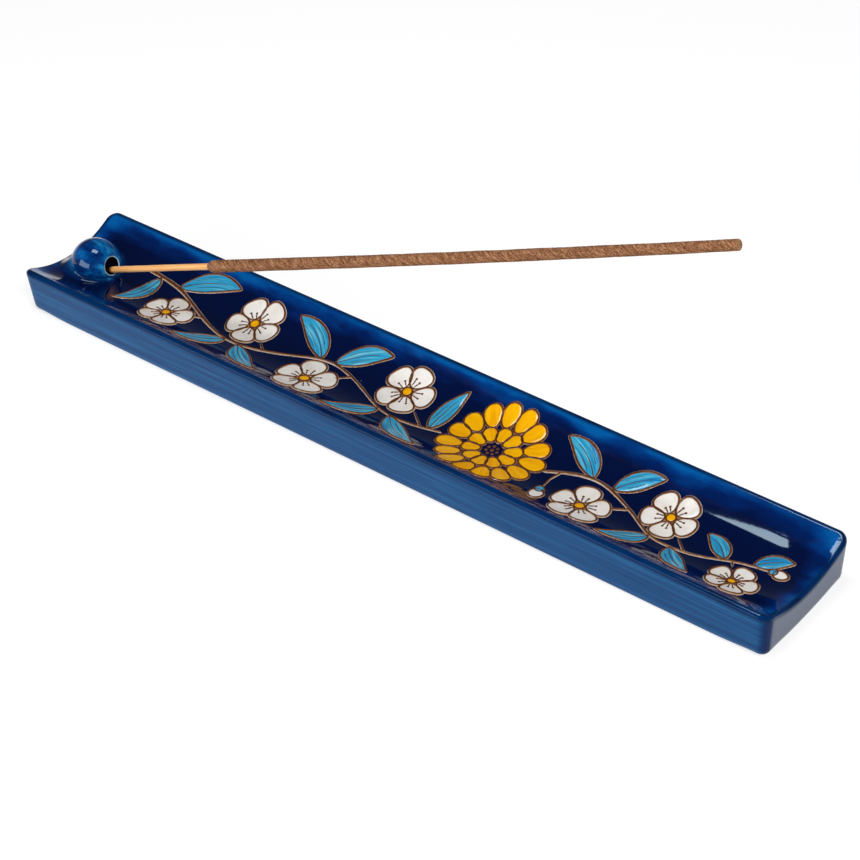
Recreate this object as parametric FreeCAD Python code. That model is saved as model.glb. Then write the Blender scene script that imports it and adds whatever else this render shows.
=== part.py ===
import FreeCAD, Part
import math
import os
from FreeCAD import Vector

# Incense burner: a long glazed tray with a dished channel, a ball that holds the stick, and the stick itself.
# The origin is the middle of the foot. X runs along the tray towards the lit end of the stick, Z is up.

# Tray
TRAY_LENGTH = 244.0         # over the end lips
TRAY_WIDTH = 36.8           # over the long rims
TRAY_HEIGHT = 13.6          # foot to rim crest
WALL_DRAFT = 1.0            # each outer wall leans in by this much from the rim to the foot
CORNER_RADIUS = 3.4         # upright corners, in plan
RIM_RADIUS = 1.1            # rounded crest all round
FOOT_EDGE_RADIUS = 0.8
CHANNEL_DEPTH = 6.2         # rim crest to channel floor, away from the ends
LIP_CLIMB = 2.4             # the floor climbs by this much towards each end, before the lip rolls over
LIP_RUN = 14.0              # length of that climb
LIP_ROLL = 4.5              # the lip rolls over towards the end wall over this length
LIP_ROLL_DROP = 0.9
FOOT_WIDTH = 4.0            # unglazed ring that the tray stands on
FOOT_RECESS = 1.5           # how far the underside is hollowed inside that ring

# Ball
BALL_RADIUS = 7.15
BALL_SETBACK = 3.65         # back of the ball to the end of the tray
BALL_RISE = 2.1             # ball centre above the channel floor
SEAT_DEPTH = 2.2            # the ball's flat foot below the channel floor
SEAT_GAP = 0.15             # room round the ball in its pocket
GLAZE_HEIGHT = 0.7          # concave ring of glaze at the ball's foot, above the channel at the ball's side
GLAZE_SPREAD = 1.6          # and out from the ball
GLAZE_HOLLOW = 0.37         # share of its height and width left half way down its face; 0.5 would be straight
GLAZE_EDGE = 0.12           # thickness of that ring at its thin edges
GLAZE_GAP = 0.06            # hairline between the ring and what it lies against

# Stick
STICK_LENGTH = 228.6
STICK_TILT = 23.2           # degrees above level
CORE_RADIUS = 0.93
CORE_TIP_CHAMFER = 0.3
COATING_LENGTH = 180.2
COATING_RADIUS = 1.75       # just past the shoulder
COATING_TIP_RADIUS = 1.38   # at the far end
COATING_BELLY = 0.03        # how far it stands proud of a straight taper half way
SHOULDER_LENGTH = 2.4       # rounded start of the coating
SHOULDER_FULL = 0.8         # share of its thickness that the shoulder has reached
SHOULDER_AT = 0.4           # by this share of its length
COATING_END_ROUND = 0.45
COATING_CAP = 1.6           # coating beyond the end of the core

# Hole in the ball: a wide mouth with a closer socket at its bottom
MOUTH_RADIUS = 2.45
MOUTH_DROP = 1.18           # mouth axis below the ball centre, square to the axis
MOUTH_DEPTH = 4.4
MOUTH_LIP = 0.4             # broken edge of the mouth
MOUTH_CLEARANCE = 0.28      # under the stick, where it passes over the mouth's lower wall
SOCKET_CLEARANCE = 0.08     # all round the stick in the socket, and at its lower end

EVEN_RUN = 1.6              # the channel is even from this many lip runs before the end
CLIMB_STATIONS = (EVEN_RUN, 1.35, 1.1, 0.85, 0.6)   # sections of the climbing lip, in lip runs from the end
ROLL_STATIONS = (1.15, 0.8, 0.45, 0.1, -0.25)       # and of its roll, in roll lengths, to past the end
LIP_DEGREE = 3              # low, so that the lofted lip stays free of waves
TOP_SPARE = 6.0             # blank above the crest, cut away by the channel
CUT_SPARE = 1.2             # how far the channel's cutter runs past the walls

half_length = TRAY_LENGTH / 2
half_width = TRAY_WIDTH / 2
even_half = half_length - LIP_RUN * EVEN_RUN
floor_height = TRAY_HEIGHT - CHANNEL_DEPTH
wall_lean = math.atan(WALL_DRAFT / TRAY_HEIGHT)

ball_centre = Vector(BALL_SETBACK + BALL_RADIUS - half_length, 0, floor_height + BALL_RISE)
ball_foot_height = floor_height - SEAT_DEPTH
tilt = math.radians(STICK_TILT)
along_stick = Vector(math.cos(tilt), 0, math.sin(tilt))
below_stick = Vector(math.sin(tilt), 0, -math.cos(tilt))
stick_drop = MOUTH_DROP + MOUTH_RADIUS - CORE_RADIUS - MOUTH_CLEARANCE
stick_foot = ball_centre + below_stick * stick_drop
stick_turn = FreeCAD.Rotation(Vector(0, 1, 0), 90 - STICK_TILT)


def wall_inset(height):
    """How far the leaning outer wall lies inside its rim line at this height."""
    return WALL_DRAFT * (1 - height / TRAY_HEIGHT)


def soft_curve(*points):
    """A smooth edge through these points."""
    curve = Part.BSplineCurve()
    curve.interpolate(list(points))
    return curve.toShape()


def rounded_rectangle(half_x, half_y, radius, height):
    """A level closed outline with round corners, centred on the Z axis."""
    straight_x = half_x - radius
    straight_y = half_y - radius
    bulge = radius * math.sqrt(0.5)
    edges = []
    for sign_x, sign_y in ((1, 1), (-1, 1), (-1, -1), (1, -1)):
        centre = Vector(sign_x * straight_x, sign_y * straight_y, height)
        on_end = centre + Vector(sign_x * radius, 0, 0)
        on_side = centre + Vector(0, sign_y * radius, 0)
        middle = centre + Vector(sign_x * bulge, sign_y * bulge, 0)
        edges.append(Part.Arc(on_end, middle, on_side).toShape())
    for sign in (1, -1):
        edges.append(Part.makeLine(
            Vector(sign * half_x, -straight_y, height), Vector(sign * half_x, straight_y, height)))
        edges.append(Part.makeLine(
            Vector(-straight_x, sign * half_y, height), Vector(straight_x, sign * half_y, height)))
    return Part.Wire(Part.__sortEdges__(edges))


def floor_at(from_end):
    """Height of the channel floor on the middle line, at a distance from the end of the tray."""
    climb = max(0, 1 - from_end / LIP_RUN)
    roll = max(0, 1 - from_end / LIP_ROLL)
    return floor_height + LIP_CLIMB * climb ** 2 - LIP_ROLL_DROP * roll ** 2


def channel_radius(depth):
    """Radius of the channel's arc, which touches the rounded rim crest on both sides."""
    crest_y = half_width - wall_inset(TRAY_HEIGHT - RIM_RADIUS) - RIM_RADIUS / math.cos(wall_lean)
    return (crest_y ** 2 + depth ** 2 - 2 * depth * RIM_RADIUS) / (2 * depth)


def channel_section(x):
    """Closed section of the channel's cutter: an arc that meets the rounded rim crest, closed above."""
    from_end = half_length - abs(x)
    depth = TRAY_HEIGHT - floor_at(from_end)
    radius = channel_radius(depth)
    reach = half_width + CUT_SPARE
    floor = TRAY_HEIGHT - depth
    edge_height = floor + radius - math.sqrt(radius ** 2 - reach ** 2)
    top = TRAY_HEIGHT + 2 * TOP_SPARE
    near = Vector(x, -reach, edge_height)
    far = Vector(x, reach, edge_height)
    near_top = Vector(x, -reach, top)
    far_top = Vector(x, reach, top)
    return Part.Wire([
        Part.Arc(near, Vector(x, 0, floor), far).toShape(),
        Part.makeLine(far, far_top),
        Part.makeLine(far_top, near_top),
        Part.makeLine(near_top, near)])


def prism_between_walls(half_size, across, along):
    """A block between two leaning walls, centred on the Z axis and long enough to pass both other walls."""
    top = TRAY_HEIGHT + TOP_SPARE
    outline = []
    for sign, height in ((-1, 0), (1, 0), (1, top), (-1, top)):
        corner = across * sign * (half_size - wall_inset(height))
        outline.append(corner - along * TRAY_LENGTH + Vector(0, 0, height))
    face = Part.Face(Part.makePolygon(outline + outline[:1]))
    return face.extrude(along * 2 * TRAY_LENGTH)


def make_block():
    """The tray's outside before it is dished: leaning walls and round upright corners."""
    long_walls = prism_between_walls(half_width, Vector(0, 1, 0), Vector(1, 0, 0))
    end_walls = prism_between_walls(half_length, Vector(1, 0, 0), Vector(0, 1, 0))
    block = long_walls.common(end_walls)
    upright = [edge for edge in block.Edges if edge.BoundBox.ZLength > TRAY_HEIGHT]
    return block.makeFillet(CORNER_RADIUS, upright)


def dish(block):
    """Cut the channel: one even stretch in the middle and a lofted lip at each end."""
    even = Part.Face(channel_section(-even_half)).extrude(Vector(2 * even_half, 0, 0))
    tray = block.cut(even)
    climb = [LIP_RUN * share for share in CLIMB_STATIONS]
    roll = [LIP_ROLL * share for share in ROLL_STATIONS]
    for sign in (1, -1):
        stations = [sign * (half_length - from_end) for from_end in climb + roll]
        tray = tray.cut(Part.makeLoft([channel_section(x) for x in stations], True, False, False, LIP_DEGREE))
    return tray


def make_tray_blank():
    """The tray before the ball's pocket is cut: dished block, round crest and foot edge, hollow foot."""
    tray = dish(make_block())
    crest = []
    for edge in tray.Edges:
        box = edge.BoundBox
        on_seam = abs(abs(box.Center.x) - even_half) < RIM_RADIUS and box.XLength < RIM_RADIUS
        if box.ZMin > TRAY_HEIGHT / 3 and not on_seam:
            crest.append(edge)
    tray = tray.makeFillet(RIM_RADIUS, crest)
    foot = [edge for edge in tray.Edges if edge.BoundBox.ZMax < FOOT_EDGE_RADIUS / 2]
    tray = tray.makeFillet(FOOT_EDGE_RADIUS, foot)
    inset = wall_inset(0) + FOOT_WIDTH
    outline = rounded_rectangle(half_length - inset, half_width - inset, CORNER_RADIUS, 0)
    recess = Part.Face(outline).extrude(Vector(0, 0, FOOT_RECESS))
    return tray.cut(recess)


def ball_above_foot(radius):
    """A sphere about the ball's centre, cut flat at the height of the ball's foot."""
    sphere = Part.makeSphere(radius, ball_centre)
    side = 4 * BALL_RADIUS
    corner = Vector(ball_centre.x - side / 2, -side / 2, ball_foot_height - side)
    return sphere.cut(Part.makeBox(side, side, side, corner))


def mouth_start():
    """Bottom of the wide mouth, on the mouth's own axis."""
    reach = math.sqrt(BALL_RADIUS ** 2 - MOUTH_DROP ** 2)
    return ball_centre + below_stick * MOUTH_DROP + along_stick * (reach - MOUTH_DEPTH)


def make_ball():
    """The ball with its mouth and socket; the mouth's edge is broken."""
    ball = ball_above_foot(BALL_RADIUS)
    mouth = Part.makeCylinder(MOUTH_RADIUS, 3 * MOUTH_DEPTH, mouth_start(), along_stick)
    ball = ball.cut(mouth)
    lip = []
    for edge in ball.Edges:
        middle = edge.valueAt((edge.FirstParameter + edge.LastParameter) / 2)
        reach = (middle - ball_centre).Length
        if abs(reach - BALL_RADIUS) < 0.01 and edge.BoundBox.XMin > ball_centre.x + MOUTH_RADIUS:
            lip.append(edge)
    ball = ball.makeChamfer(MOUTH_LIP, lip)
    socket_end = stick_foot - along_stick * SOCKET_CLEARANCE
    socket_length = (mouth_start() - socket_end).dot(along_stick) + MOUTH_CLEARANCE
    socket = Part.makeCylinder(CORE_RADIUS + SOCKET_CLEARANCE, socket_length, socket_end, along_stick)
    return ball.cut(socket)


def make_glaze_fillet(tray_blank):
    """A ring of glaze with a concave face, from the ball down to the channel floor."""
    axis_x = ball_centre.x
    inner = axis_x + BALL_RADIUS - GLAZE_SPREAD
    radius = channel_radius(CHANNEL_DEPTH)
    side_rise = radius - math.sqrt(radius ** 2 - BALL_RADIUS ** 2)
    high = Vector(axis_x + BALL_RADIUS + GLAZE_EDGE, 0, floor_height + side_rise + GLAZE_HEIGHT)
    low = Vector(axis_x + BALL_RADIUS + GLAZE_SPREAD, 0, floor_height + GLAZE_EDGE)
    middle = Vector(high.x + (low.x - high.x) * GLAZE_HOLLOW, 0, low.z + (high.z - low.z) * GLAZE_HOLLOW)
    outer_bottom = Vector(low.x, 0, ball_foot_height)
    inner_bottom = Vector(inner, 0, ball_foot_height)
    inner_top = Vector(inner, 0, high.z)
    profile = Part.Wire([
        Part.Arc(high, middle, low).toShape(),
        Part.makeLine(low, outer_bottom),
        Part.makeLine(outer_bottom, inner_bottom),
        Part.makeLine(inner_bottom, inner_top),
        Part.makeLine(inner_top, high)])
    ring = Part.Face(profile).revolve(Vector(axis_x, 0, 0), Vector(0, 0, 1), 360)
    floor_cut = tray_blank.copy()
    floor_cut.translate(Vector(0, 0, GLAZE_GAP))
    ring = ring.cut(floor_cut)
    ring = ring.cut(ball_above_foot(BALL_RADIUS + GLAZE_GAP))
    way_in = Part.makeCylinder(MOUTH_RADIUS + MOUTH_LIP, 3 * MOUTH_DEPTH, mouth_start(), along_stick)
    return ring.cut(way_in)


def on_stick(shape):
    """Lay a shape built along Z onto the stick's axis, its Z zero at the stick's lower end."""
    shape.Placement = FreeCAD.Placement(stick_foot, stick_turn)
    return shape


def make_bamboo_core():
    length = STICK_LENGTH - COATING_CAP
    core = Part.makeCylinder(CORE_RADIUS, length)
    lower_edge = [edge for edge in core.Edges if edge.BoundBox.ZMax < CORE_RADIUS / 2]
    return on_stick(core.makeChamfer(CORE_TIP_CHAMFER, lower_edge))


def make_incense_coating():
    """Rolled paste: rounded shoulder, slow taper with a slight belly, softened end closed over the core."""
    start = STICK_LENGTH - COATING_LENGTH
    full = start + SHOULDER_LENGTH
    end = STICK_LENGTH - COATING_END_ROUND
    rounding = COATING_END_ROUND * (1 - math.sqrt(0.5))
    mean_radius = (COATING_RADIUS + COATING_TIP_RADIUS) / 2
    foot = Vector(CORE_RADIUS, 0, start)
    bulge_radius = CORE_RADIUS + (COATING_RADIUS - CORE_RADIUS) * SHOULDER_FULL
    bulge = Vector(bulge_radius, 0, start + SHOULDER_LENGTH * SHOULDER_AT)
    shoulder = Vector(COATING_RADIUS, 0, full)
    belly = Vector(mean_radius + COATING_BELLY, 0, (full + end) / 2)
    before_end = Vector(COATING_TIP_RADIUS, 0, end)
    round_middle = Vector(COATING_TIP_RADIUS - rounding, 0, STICK_LENGTH - rounding)
    end_edge = Vector(COATING_TIP_RADIUS - COATING_END_ROUND, 0, STICK_LENGTH)
    end_middle = Vector(0, 0, STICK_LENGTH)
    cap_middle = Vector(0, 0, STICK_LENGTH - COATING_CAP)
    cap_edge = Vector(CORE_RADIUS, 0, STICK_LENGTH - COATING_CAP)
    profile = Part.Wire([
        soft_curve(foot, bulge, shoulder),
        soft_curve(shoulder, belly, before_end),
        soft_curve(before_end, round_middle, end_edge),
        Part.makeLine(end_edge, end_middle),
        Part.makeLine(end_middle, cap_middle),
        Part.makeLine(cap_middle, cap_edge),
        Part.makeLine(cap_edge, foot)])
    return on_stick(Part.Face(profile).revolve(Vector(0, 0, 0), Vector(0, 0, 1), 360))


tray_blank = make_tray_blank()
nodes = {
    "tray": tray_blank.cut(ball_above_foot(BALL_RADIUS + SEAT_GAP)),
    "stick_holder_ball": make_ball(),
    "glaze_fillet": make_glaze_fillet(tray_blank),
    "bamboo_core": make_bamboo_core(),
    "incense_coating": make_incense_coating(),
}

os.makedirs("parts", exist_ok=True)
for name, shape in nodes.items():
    solid = shape.Solids[0] if shape.ShapeType != "Solid" and len(shape.Solids) == 1 else shape
    solid.exportStep("parts/" + name + ".step")
    box = solid.BoundBox
    print(name, "solids", len(solid.Solids), "valid", solid.isValid(), "volume", round(solid.Volume, 1))
    print("   x", round(box.XMin, 2), round(box.XMax, 2), "y", round(box.YMin, 2), round(box.YMax, 2),
          "z", round(box.ZMin, 2), round(box.ZMax, 2))
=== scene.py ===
# %% [markdown]
# A glazed tray for one stick of incense
#
# The real object is a long slip-cast tray. A small ball near one end holds the stick, and a dished channel
# catches the ash. CAD gives each piece its place and its fits. In this lesson every piece gets a finer skin
# over that frame: smooth glaze, hand-drawn slip lines, enamel pads, split bamboo and grainy paste. The frame
# comes first, because every piece that follows is placed by it and rides on one of its bodies.

# %% Load the frame
import math
import random

import bmesh
import bpy
import numpy as np
from mathutils import Matrix, Vector, noise


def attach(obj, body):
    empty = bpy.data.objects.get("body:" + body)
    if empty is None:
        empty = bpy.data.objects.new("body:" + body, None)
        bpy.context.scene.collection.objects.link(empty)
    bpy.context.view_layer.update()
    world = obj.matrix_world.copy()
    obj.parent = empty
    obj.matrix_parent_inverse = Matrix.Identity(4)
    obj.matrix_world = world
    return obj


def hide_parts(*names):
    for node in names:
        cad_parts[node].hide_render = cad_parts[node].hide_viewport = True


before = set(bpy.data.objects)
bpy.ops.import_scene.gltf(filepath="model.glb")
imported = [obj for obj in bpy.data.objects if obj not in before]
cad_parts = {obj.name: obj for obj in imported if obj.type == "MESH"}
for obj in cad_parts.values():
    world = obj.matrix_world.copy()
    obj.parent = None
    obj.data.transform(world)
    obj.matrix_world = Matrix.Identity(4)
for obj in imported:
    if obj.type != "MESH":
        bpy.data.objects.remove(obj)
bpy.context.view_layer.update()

# %% [markdown]
# Helpers for making meshes
#
# Every piece here is worked out in millimetres and stored in metres. A piece could also be built with
# modifiers on simple shapes, but a formula for each surface gives clean rows of points, and the finish can
# then read values such as the depth of the glaze from those same points.

# %% Make a mesh piece
MM = 0.001
SHARP_ANGLE = math.radians(48)


def mesh_piece(name, points, faces):
    """A smooth, closed mesh object from points in millimetres."""
    mesh = bpy.data.meshes.new(name)
    mesh.from_pydata([tuple(point) for point in np.asarray(points, float) * MM], [], faces)
    tidy = bmesh.new()
    tidy.from_mesh(mesh)
    bmesh.ops.recalc_face_normals(tidy, faces=tidy.faces)
    tidy.to_mesh(mesh)
    tidy.free()
    mesh.shade_smooth()
    mesh.set_sharp_from_angle(angle=SHARP_ANGLE)
    piece = bpy.data.objects.new(name, mesh)
    bpy.context.scene.collection.objects.link(piece)
    return piece


def points_of(piece):
    """The piece's points as rows of millimetres."""
    flat = np.zeros(len(piece.data.vertices) * 3, np.float32)
    piece.data.vertices.foreach_get("co", flat)
    return flat.reshape(-1, 3).astype(float) / MM


def paint(piece, name, values):
    """Store one value, or one vector, at each point for the finish to read."""
    values = np.asarray(values, np.float32)
    vector = values.ndim == 2
    layer = piece.data.attributes.new(name, "FLOAT_VECTOR" if vector else "FLOAT", "POINT")
    layer.data.foreach_set("vector" if vector else "value", values.ravel())


print("mesh pieces are smooth up to", round(math.degrees(SHARP_ANGLE)), "degrees")

# %% Join rows of points
def bridge(count, first, second):
    """Four-sided faces between two closed rows of points that start at these numbers."""
    faces = []
    for i in range(count):
        j = (i + 1) % count
        faces.append((first + i, first + j, second + j, second + i))
    return faces


def capped_tube(rows, first_cap, last_cap):
    """Points and faces of rows joined to a closed tube, with a middle point at each end."""
    count = len(rows[0])
    points = np.concatenate(rows + [[first_cap], [last_cap]])
    faces = []
    for row in range(len(rows) - 1):
        faces += bridge(count, row * count, (row + 1) * count)
    last_row = (len(rows) - 1) * count
    for i in range(count):
        j = (i + 1) % count
        faces += [(len(points) - 2, i, j), (len(points) - 1, last_row + i, last_row + j)]
    return points, faces


def curve_point(start, pull, end, share):
    """A point on a curve from start to end that a third point pulls towards itself."""
    return (1 - share) ** 2 * start + 2 * share * (1 - share) * pull + share ** 2 * end


print("a square tube has", len(capped_tube([np.eye(4, 3)] * 2, (0, 0, 0), (0, 0, 1))[1]), "faces")

# %% Ease, fade and solve
HALVINGS = 40


def eased(value, low, high):
    """Zero below low, one above high, and an even S between them."""
    share = np.clip((np.asarray(value, float) - low) / (high - low), 0, 1)
    return share * share * (3 - 2 * share)


def fading(away, reach):
    """One at no distance, fading smoothly to nothing past this reach."""
    return np.exp(-(away / reach) ** 2)


def halved(low, high, is_past):
    """Narrow each value's range, half by half, down to where the test turns true."""
    for _ in range(HALVINGS):
        middle = (low + high) / 2
        past = is_past(middle)
        high = np.where(past, middle, high)
        low = np.where(past, low, middle)
    return (low + high) / 2


print("halfway eased", float(eased(0.5, 0, 1)))

# %% [markdown]
# The channel as a formula
#
# Across the tray the channel is one arc that meets the rounded rim on both sides. Towards each end its floor
# climbs, then rolls over the lip. One height formula serves the tray, the glaze ring and the raised drawing,
# so all of them fit each other exactly, where separate sculpted surfaces would leave gaps.

# %% Channel height
TRAY_LENGTH = 244.0
TRAY_WIDTH = 36.8
TRAY_HEIGHT = 13.6
WALL_DRAFT = 1.0
CORNER_RADIUS = 3.4
RIM_RADIUS = 1.1
CHANNEL_DEPTH = 6.2
LIP_CLIMB = 2.4
LIP_RUN = 14.0
LIP_ROLL = 4.5
LIP_ROLL_DROP = 0.9

half_length = TRAY_LENGTH / 2
half_width = TRAY_WIDTH / 2
floor_height = TRAY_HEIGHT - CHANNEL_DEPTH
wall_lean = math.atan(WALL_DRAFT / TRAY_HEIGHT)


def wall_inset(height):
    """How far the leaning wall lies inside its rim line at this height."""
    return WALL_DRAFT * (1 - height / TRAY_HEIGHT)


crest_y = half_width - wall_inset(TRAY_HEIGHT - RIM_RADIUS) - RIM_RADIUS / math.cos(wall_lean)


def channel_height(x, y):
    """Height of the channel's surface at a plan point."""
    from_end = half_length - np.abs(x)
    climb = np.clip(1 - from_end / LIP_RUN, 0, None)
    roll = np.clip(1 - from_end / LIP_ROLL, 0, None)
    floor = floor_height + LIP_CLIMB * climb ** 2 - LIP_ROLL_DROP * roll ** 2
    depth = TRAY_HEIGHT - floor
    radius = (crest_y ** 2 + depth ** 2 - 2 * depth * RIM_RADIUS) / (2 * depth)
    return floor + radius - np.sqrt(radius ** 2 - np.asarray(y) ** 2)


print("channel floor", floor_height, "lip", round(float(channel_height(half_length - LIP_ROLL / 2, 0)), 2))

# %% Points laid on the channel
SLOPE_STEP = 0.02


def channel_normal(x, y):
    """Upward normal of the channel's surface at a plan point."""
    slope_x = (channel_height(x + SLOPE_STEP, y) - channel_height(x - SLOPE_STEP, y)) / (2 * SLOPE_STEP)
    slope_y = (channel_height(x, y + SLOPE_STEP) - channel_height(x, y - SLOPE_STEP)) / (2 * SLOPE_STEP)
    normal = np.stack([-slope_x, -slope_y, np.ones_like(slope_x)], -1)
    return normal / np.linalg.norm(normal, axis=-1, keepdims=True)


def on_channel(plan, lift):
    """Lay plan points on the channel, lifted along its normal."""
    x, y = plan[..., 0], plan[..., 1]
    ground = np.stack([x, y, channel_height(x, y)], -1)
    return ground + channel_normal(x, y) * np.asarray(lift)[..., None]


print("middle of the channel", on_channel(np.zeros((1, 2)), [0])[0].round(2))

# %% [markdown]
# The tray's outline
#
# Seen from above, the tray is a rectangle with round corners. Each ring of the tray has the same number of
# points, so the rings join with plain four-sided faces. Points crowd towards the ends, where the lip rolls
# over.

# %% Rings round the tray
LONG_STEPS = 230
END_STEPS = 40
CORNER_STEPS = 12
CROWDING = 0.62


def along_side(start, end, steps, crowd):
    """Points from start towards end, without the last one, crowded towards both ends."""
    share = np.arange(steps) / steps
    share = share - crowd * np.sin(2 * math.pi * share) / (2 * math.pi)
    return np.asarray(start) + share[:, None] * (np.asarray(end) - np.asarray(start))


def outline(half_x, half_y, radius):
    """Plan points and outward normals round a rounded rectangle."""
    flat_x, flat_y = half_x - radius, half_y - radius
    points, normals = [], []
    sides = [((-flat_x, -half_y), (flat_x, -half_y), LONG_STEPS, CROWDING, -90),
             ((half_x, -flat_y), (half_x, flat_y), END_STEPS, 0, 0),
             ((flat_x, half_y), (-flat_x, half_y), LONG_STEPS, CROWDING, 90),
             ((-half_x, flat_y), (-half_x, -flat_y), END_STEPS, 0, 180)]
    corners = [(flat_x, -flat_y), (flat_x, flat_y), (-flat_x, flat_y), (-flat_x, -flat_y)]
    for (start, end, steps, crowd, facing), corner in zip(sides, corners):
        turn = math.radians(facing)
        points.append(along_side(start, end, steps, crowd))
        normals.append(np.tile([math.cos(turn), math.sin(turn)], (steps, 1)))
        angle = turn + np.arange(CORNER_STEPS) / CORNER_STEPS * math.pi / 2
        spoke = np.stack([np.cos(angle), np.sin(angle)], -1)
        points.append(np.asarray(corner) + radius * spoke)
        normals.append(spoke)
    return np.concatenate(points), np.concatenate(normals)


rim_line, rim_out = outline(half_length, half_width, CORNER_RADIUS)
ring_count = len(rim_line)
print("points in a ring", ring_count)

# %% [markdown]
# The rounded crest
#
# Glaze pulls back from a sharp edge, so a potter rounds the rim first. In each section through the rim the
# crest is a circle that touches the leaning wall on one side and the channel on the other. A bevel modifier
# could approximate it, but solving for the touching point keeps an even radius where the end lips dip.

# %% Solve the crest
CREST_SLOPE_STEP = 0.01
LEAST_TOUCH = 0.3
MOST_TOUCH = 3.2


def inside_rim(inward):
    """Plan points that lie this far inside the rim line."""
    return rim_line - rim_out * np.asarray(inward)[:, None]


def crest_circle(touch):
    """Channel slope, circle centre and its error, if the crest leaves the channel this far inside."""
    before, after = inside_rim(touch - CREST_SLOPE_STEP), inside_rim(touch + CREST_SLOPE_STEP)
    slope = (channel_height(*after.T) - channel_height(*before.T)) / (2 * CREST_SLOPE_STEP)
    tall = np.sqrt(1 + slope ** 2)
    centre_in = touch + RIM_RADIUS * slope / tall
    centre_up = channel_height(*inside_rim(touch).T) - RIM_RADIUS / tall
    wall_touch = centre_up - RIM_RADIUS * math.sin(wall_lean)
    error = centre_in - wall_inset(wall_touch) - RIM_RADIUS * math.cos(wall_lean)
    return slope, centre_in, centre_up, error


touch = halved(np.full(ring_count, LEAST_TOUCH), np.full(ring_count, MOST_TOUCH),
               lambda guess: crest_circle(guess)[3] > 0)
crest_slope, crest_in, crest_up, _ = crest_circle(touch)
print("crest leaves the channel", round(float(touch.min()), 2), "to", round(float(touch.max()), 2), "inside")

# %% Stack the tray's rings
CREST_STEPS = 9
WALL_STEPS = 10
FOOT_STEPS = 5
FOOT_EDGE_RADIUS = 1.2
FOOT_CORNER_EXTRA = 1.0
FOOT_CORNER_REACH = 7.0
FOOT_WIDTH = 4.0
FOOT_RECESS = 1.5
RECESS_EDGE = 0.3
rings = []


def add_ring(inward, height):
    """One ring at this distance inside the rim line, at this height."""
    inward = np.broadcast_to(inward, ring_count)
    height = np.broadcast_to(height, ring_count)
    rings.append(np.column_stack([inside_rim(inward), height]))


def add_plain_ring(grow, height):
    """One ring round the hollow underside, grown by this much."""
    inset = WALL_DRAFT + FOOT_WIDTH - grow
    line, _ = outline(half_length - inset, half_width - inset, CORNER_RADIUS + grow)
    rings.append(np.column_stack([line, np.full(ring_count, height)]))


add_plain_ring(-RECESS_EDGE, FOOT_RECESS)
add_plain_ring(0, FOOT_RECESS - RECESS_EDGE)
add_plain_ring(0, RECESS_EDGE)
add_plain_ring(RECESS_EDGE, 0)
from_corner = np.maximum([half_length - CORNER_RADIUS, half_width - CORNER_RADIUS] - np.abs(rim_line), 0)
at_corner = fading(np.linalg.norm(from_corner, axis=1), FOOT_CORNER_REACH)
foot_edge = FOOT_EDGE_RADIUS + FOOT_CORNER_EXTRA * at_corner
foot_touch = foot_edge * (1 - math.sin(wall_lean))
foot_in = wall_inset(foot_touch) + foot_edge * math.cos(wall_lean)
for step in range(FOOT_STEPS + 1):
    angle = math.radians(270) - step / FOOT_STEPS * (math.radians(90) - wall_lean)
    add_ring(foot_in + foot_edge * math.cos(angle), foot_edge * (1 + math.sin(angle)))
wall_top = crest_up - RIM_RADIUS * math.sin(wall_lean)
for step in range(1, WALL_STEPS):
    height = foot_touch + (wall_top - foot_touch) * step / WALL_STEPS
    add_ring(wall_inset(height), height)
crest_end = np.arctan2(1, -crest_slope)
for step in range(CREST_STEPS + 1):
    angle = math.pi + wall_lean + (crest_end - math.pi - wall_lean) * step / CREST_STEPS
    add_ring(crest_in + RIM_RADIUS * np.cos(angle), crest_up + RIM_RADIUS * np.sin(angle))
print("rings", len(rings))

# %% [markdown]
# Filling the channel and the hollow underside
#
# The first and last rings are closed with a grid that blends their four sides, a Coons patch. A single
# many-sided face would shade badly, and a grid carries the channel's curve. A ball that is a little larger
# than the real one then cuts the pocket that the holder stands in.

# %% Fill a ring with a grid
def filled(loop, first, next_free, height_at):
    """Inner points and faces of a grid that fills one ring of the tray."""
    wide, deep = LONG_STEPS + CORNER_STEPS, END_STEPS + CORNER_STEPS
    ids = np.roll(np.arange(ring_count), CORNER_STEPS // 2)
    sides = [ids[:wide + 1], ids[wide:wide + deep + 1], ids[wide + deep:2 * wide + deep + 1][::-1],
             np.append(ids[2 * wide + deep:], ids[0])[::-1]]
    near, right, far, left = [loop[side][:, :2] for side in sides]
    s = np.linspace(0, 1, wide + 1)[:, None, None]
    t = np.linspace(0, 1, deep + 1)[None, :, None]
    plan = (1 - t) * near[:, None] + t * far[:, None] + (1 - s) * left[None] + s * right[None]
    plan = plan - (1 - s) * ((1 - t) * near[0] + t * far[0]) - s * ((1 - t) * near[-1] + t * far[-1])
    number = np.zeros((wide + 1, deep + 1), int)
    number[:, 0], number[-1, :], number[:, -1], number[0, :] = [first + side for side in sides]
    inner = plan[1:-1, 1:-1].reshape(-1, 2)
    number[1:-1, 1:-1] = next_free + np.arange(len(inner)).reshape(wide - 1, deep - 1)
    points = np.column_stack([inner, height_at(inner)])
    faces = []
    for i in range(wide):
        for j in range(deep):
            faces.append((number[i, j], number[i + 1, j], number[i + 1, j + 1], number[i, j + 1]))
    return points, [tuple(int(n) for n in face) for face in faces]


print("grid", LONG_STEPS + CORNER_STEPS, "by", END_STEPS + CORNER_STEPS)

# %% Close the tray and cut the ball's pocket
BALL_RADIUS = 7.15
BALL_SETBACK = 3.65
BALL_RISE = 2.1
SEAT_DEPTH = 2.2
SEAT_GAP = 0.15
SEAT_STEPS = 64
SEAT_TURN = 0.023

ball_centre = np.array([BALL_SETBACK + BALL_RADIUS - half_length, 0, floor_height + BALL_RISE])
ball_foot = floor_height - SEAT_DEPTH


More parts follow.
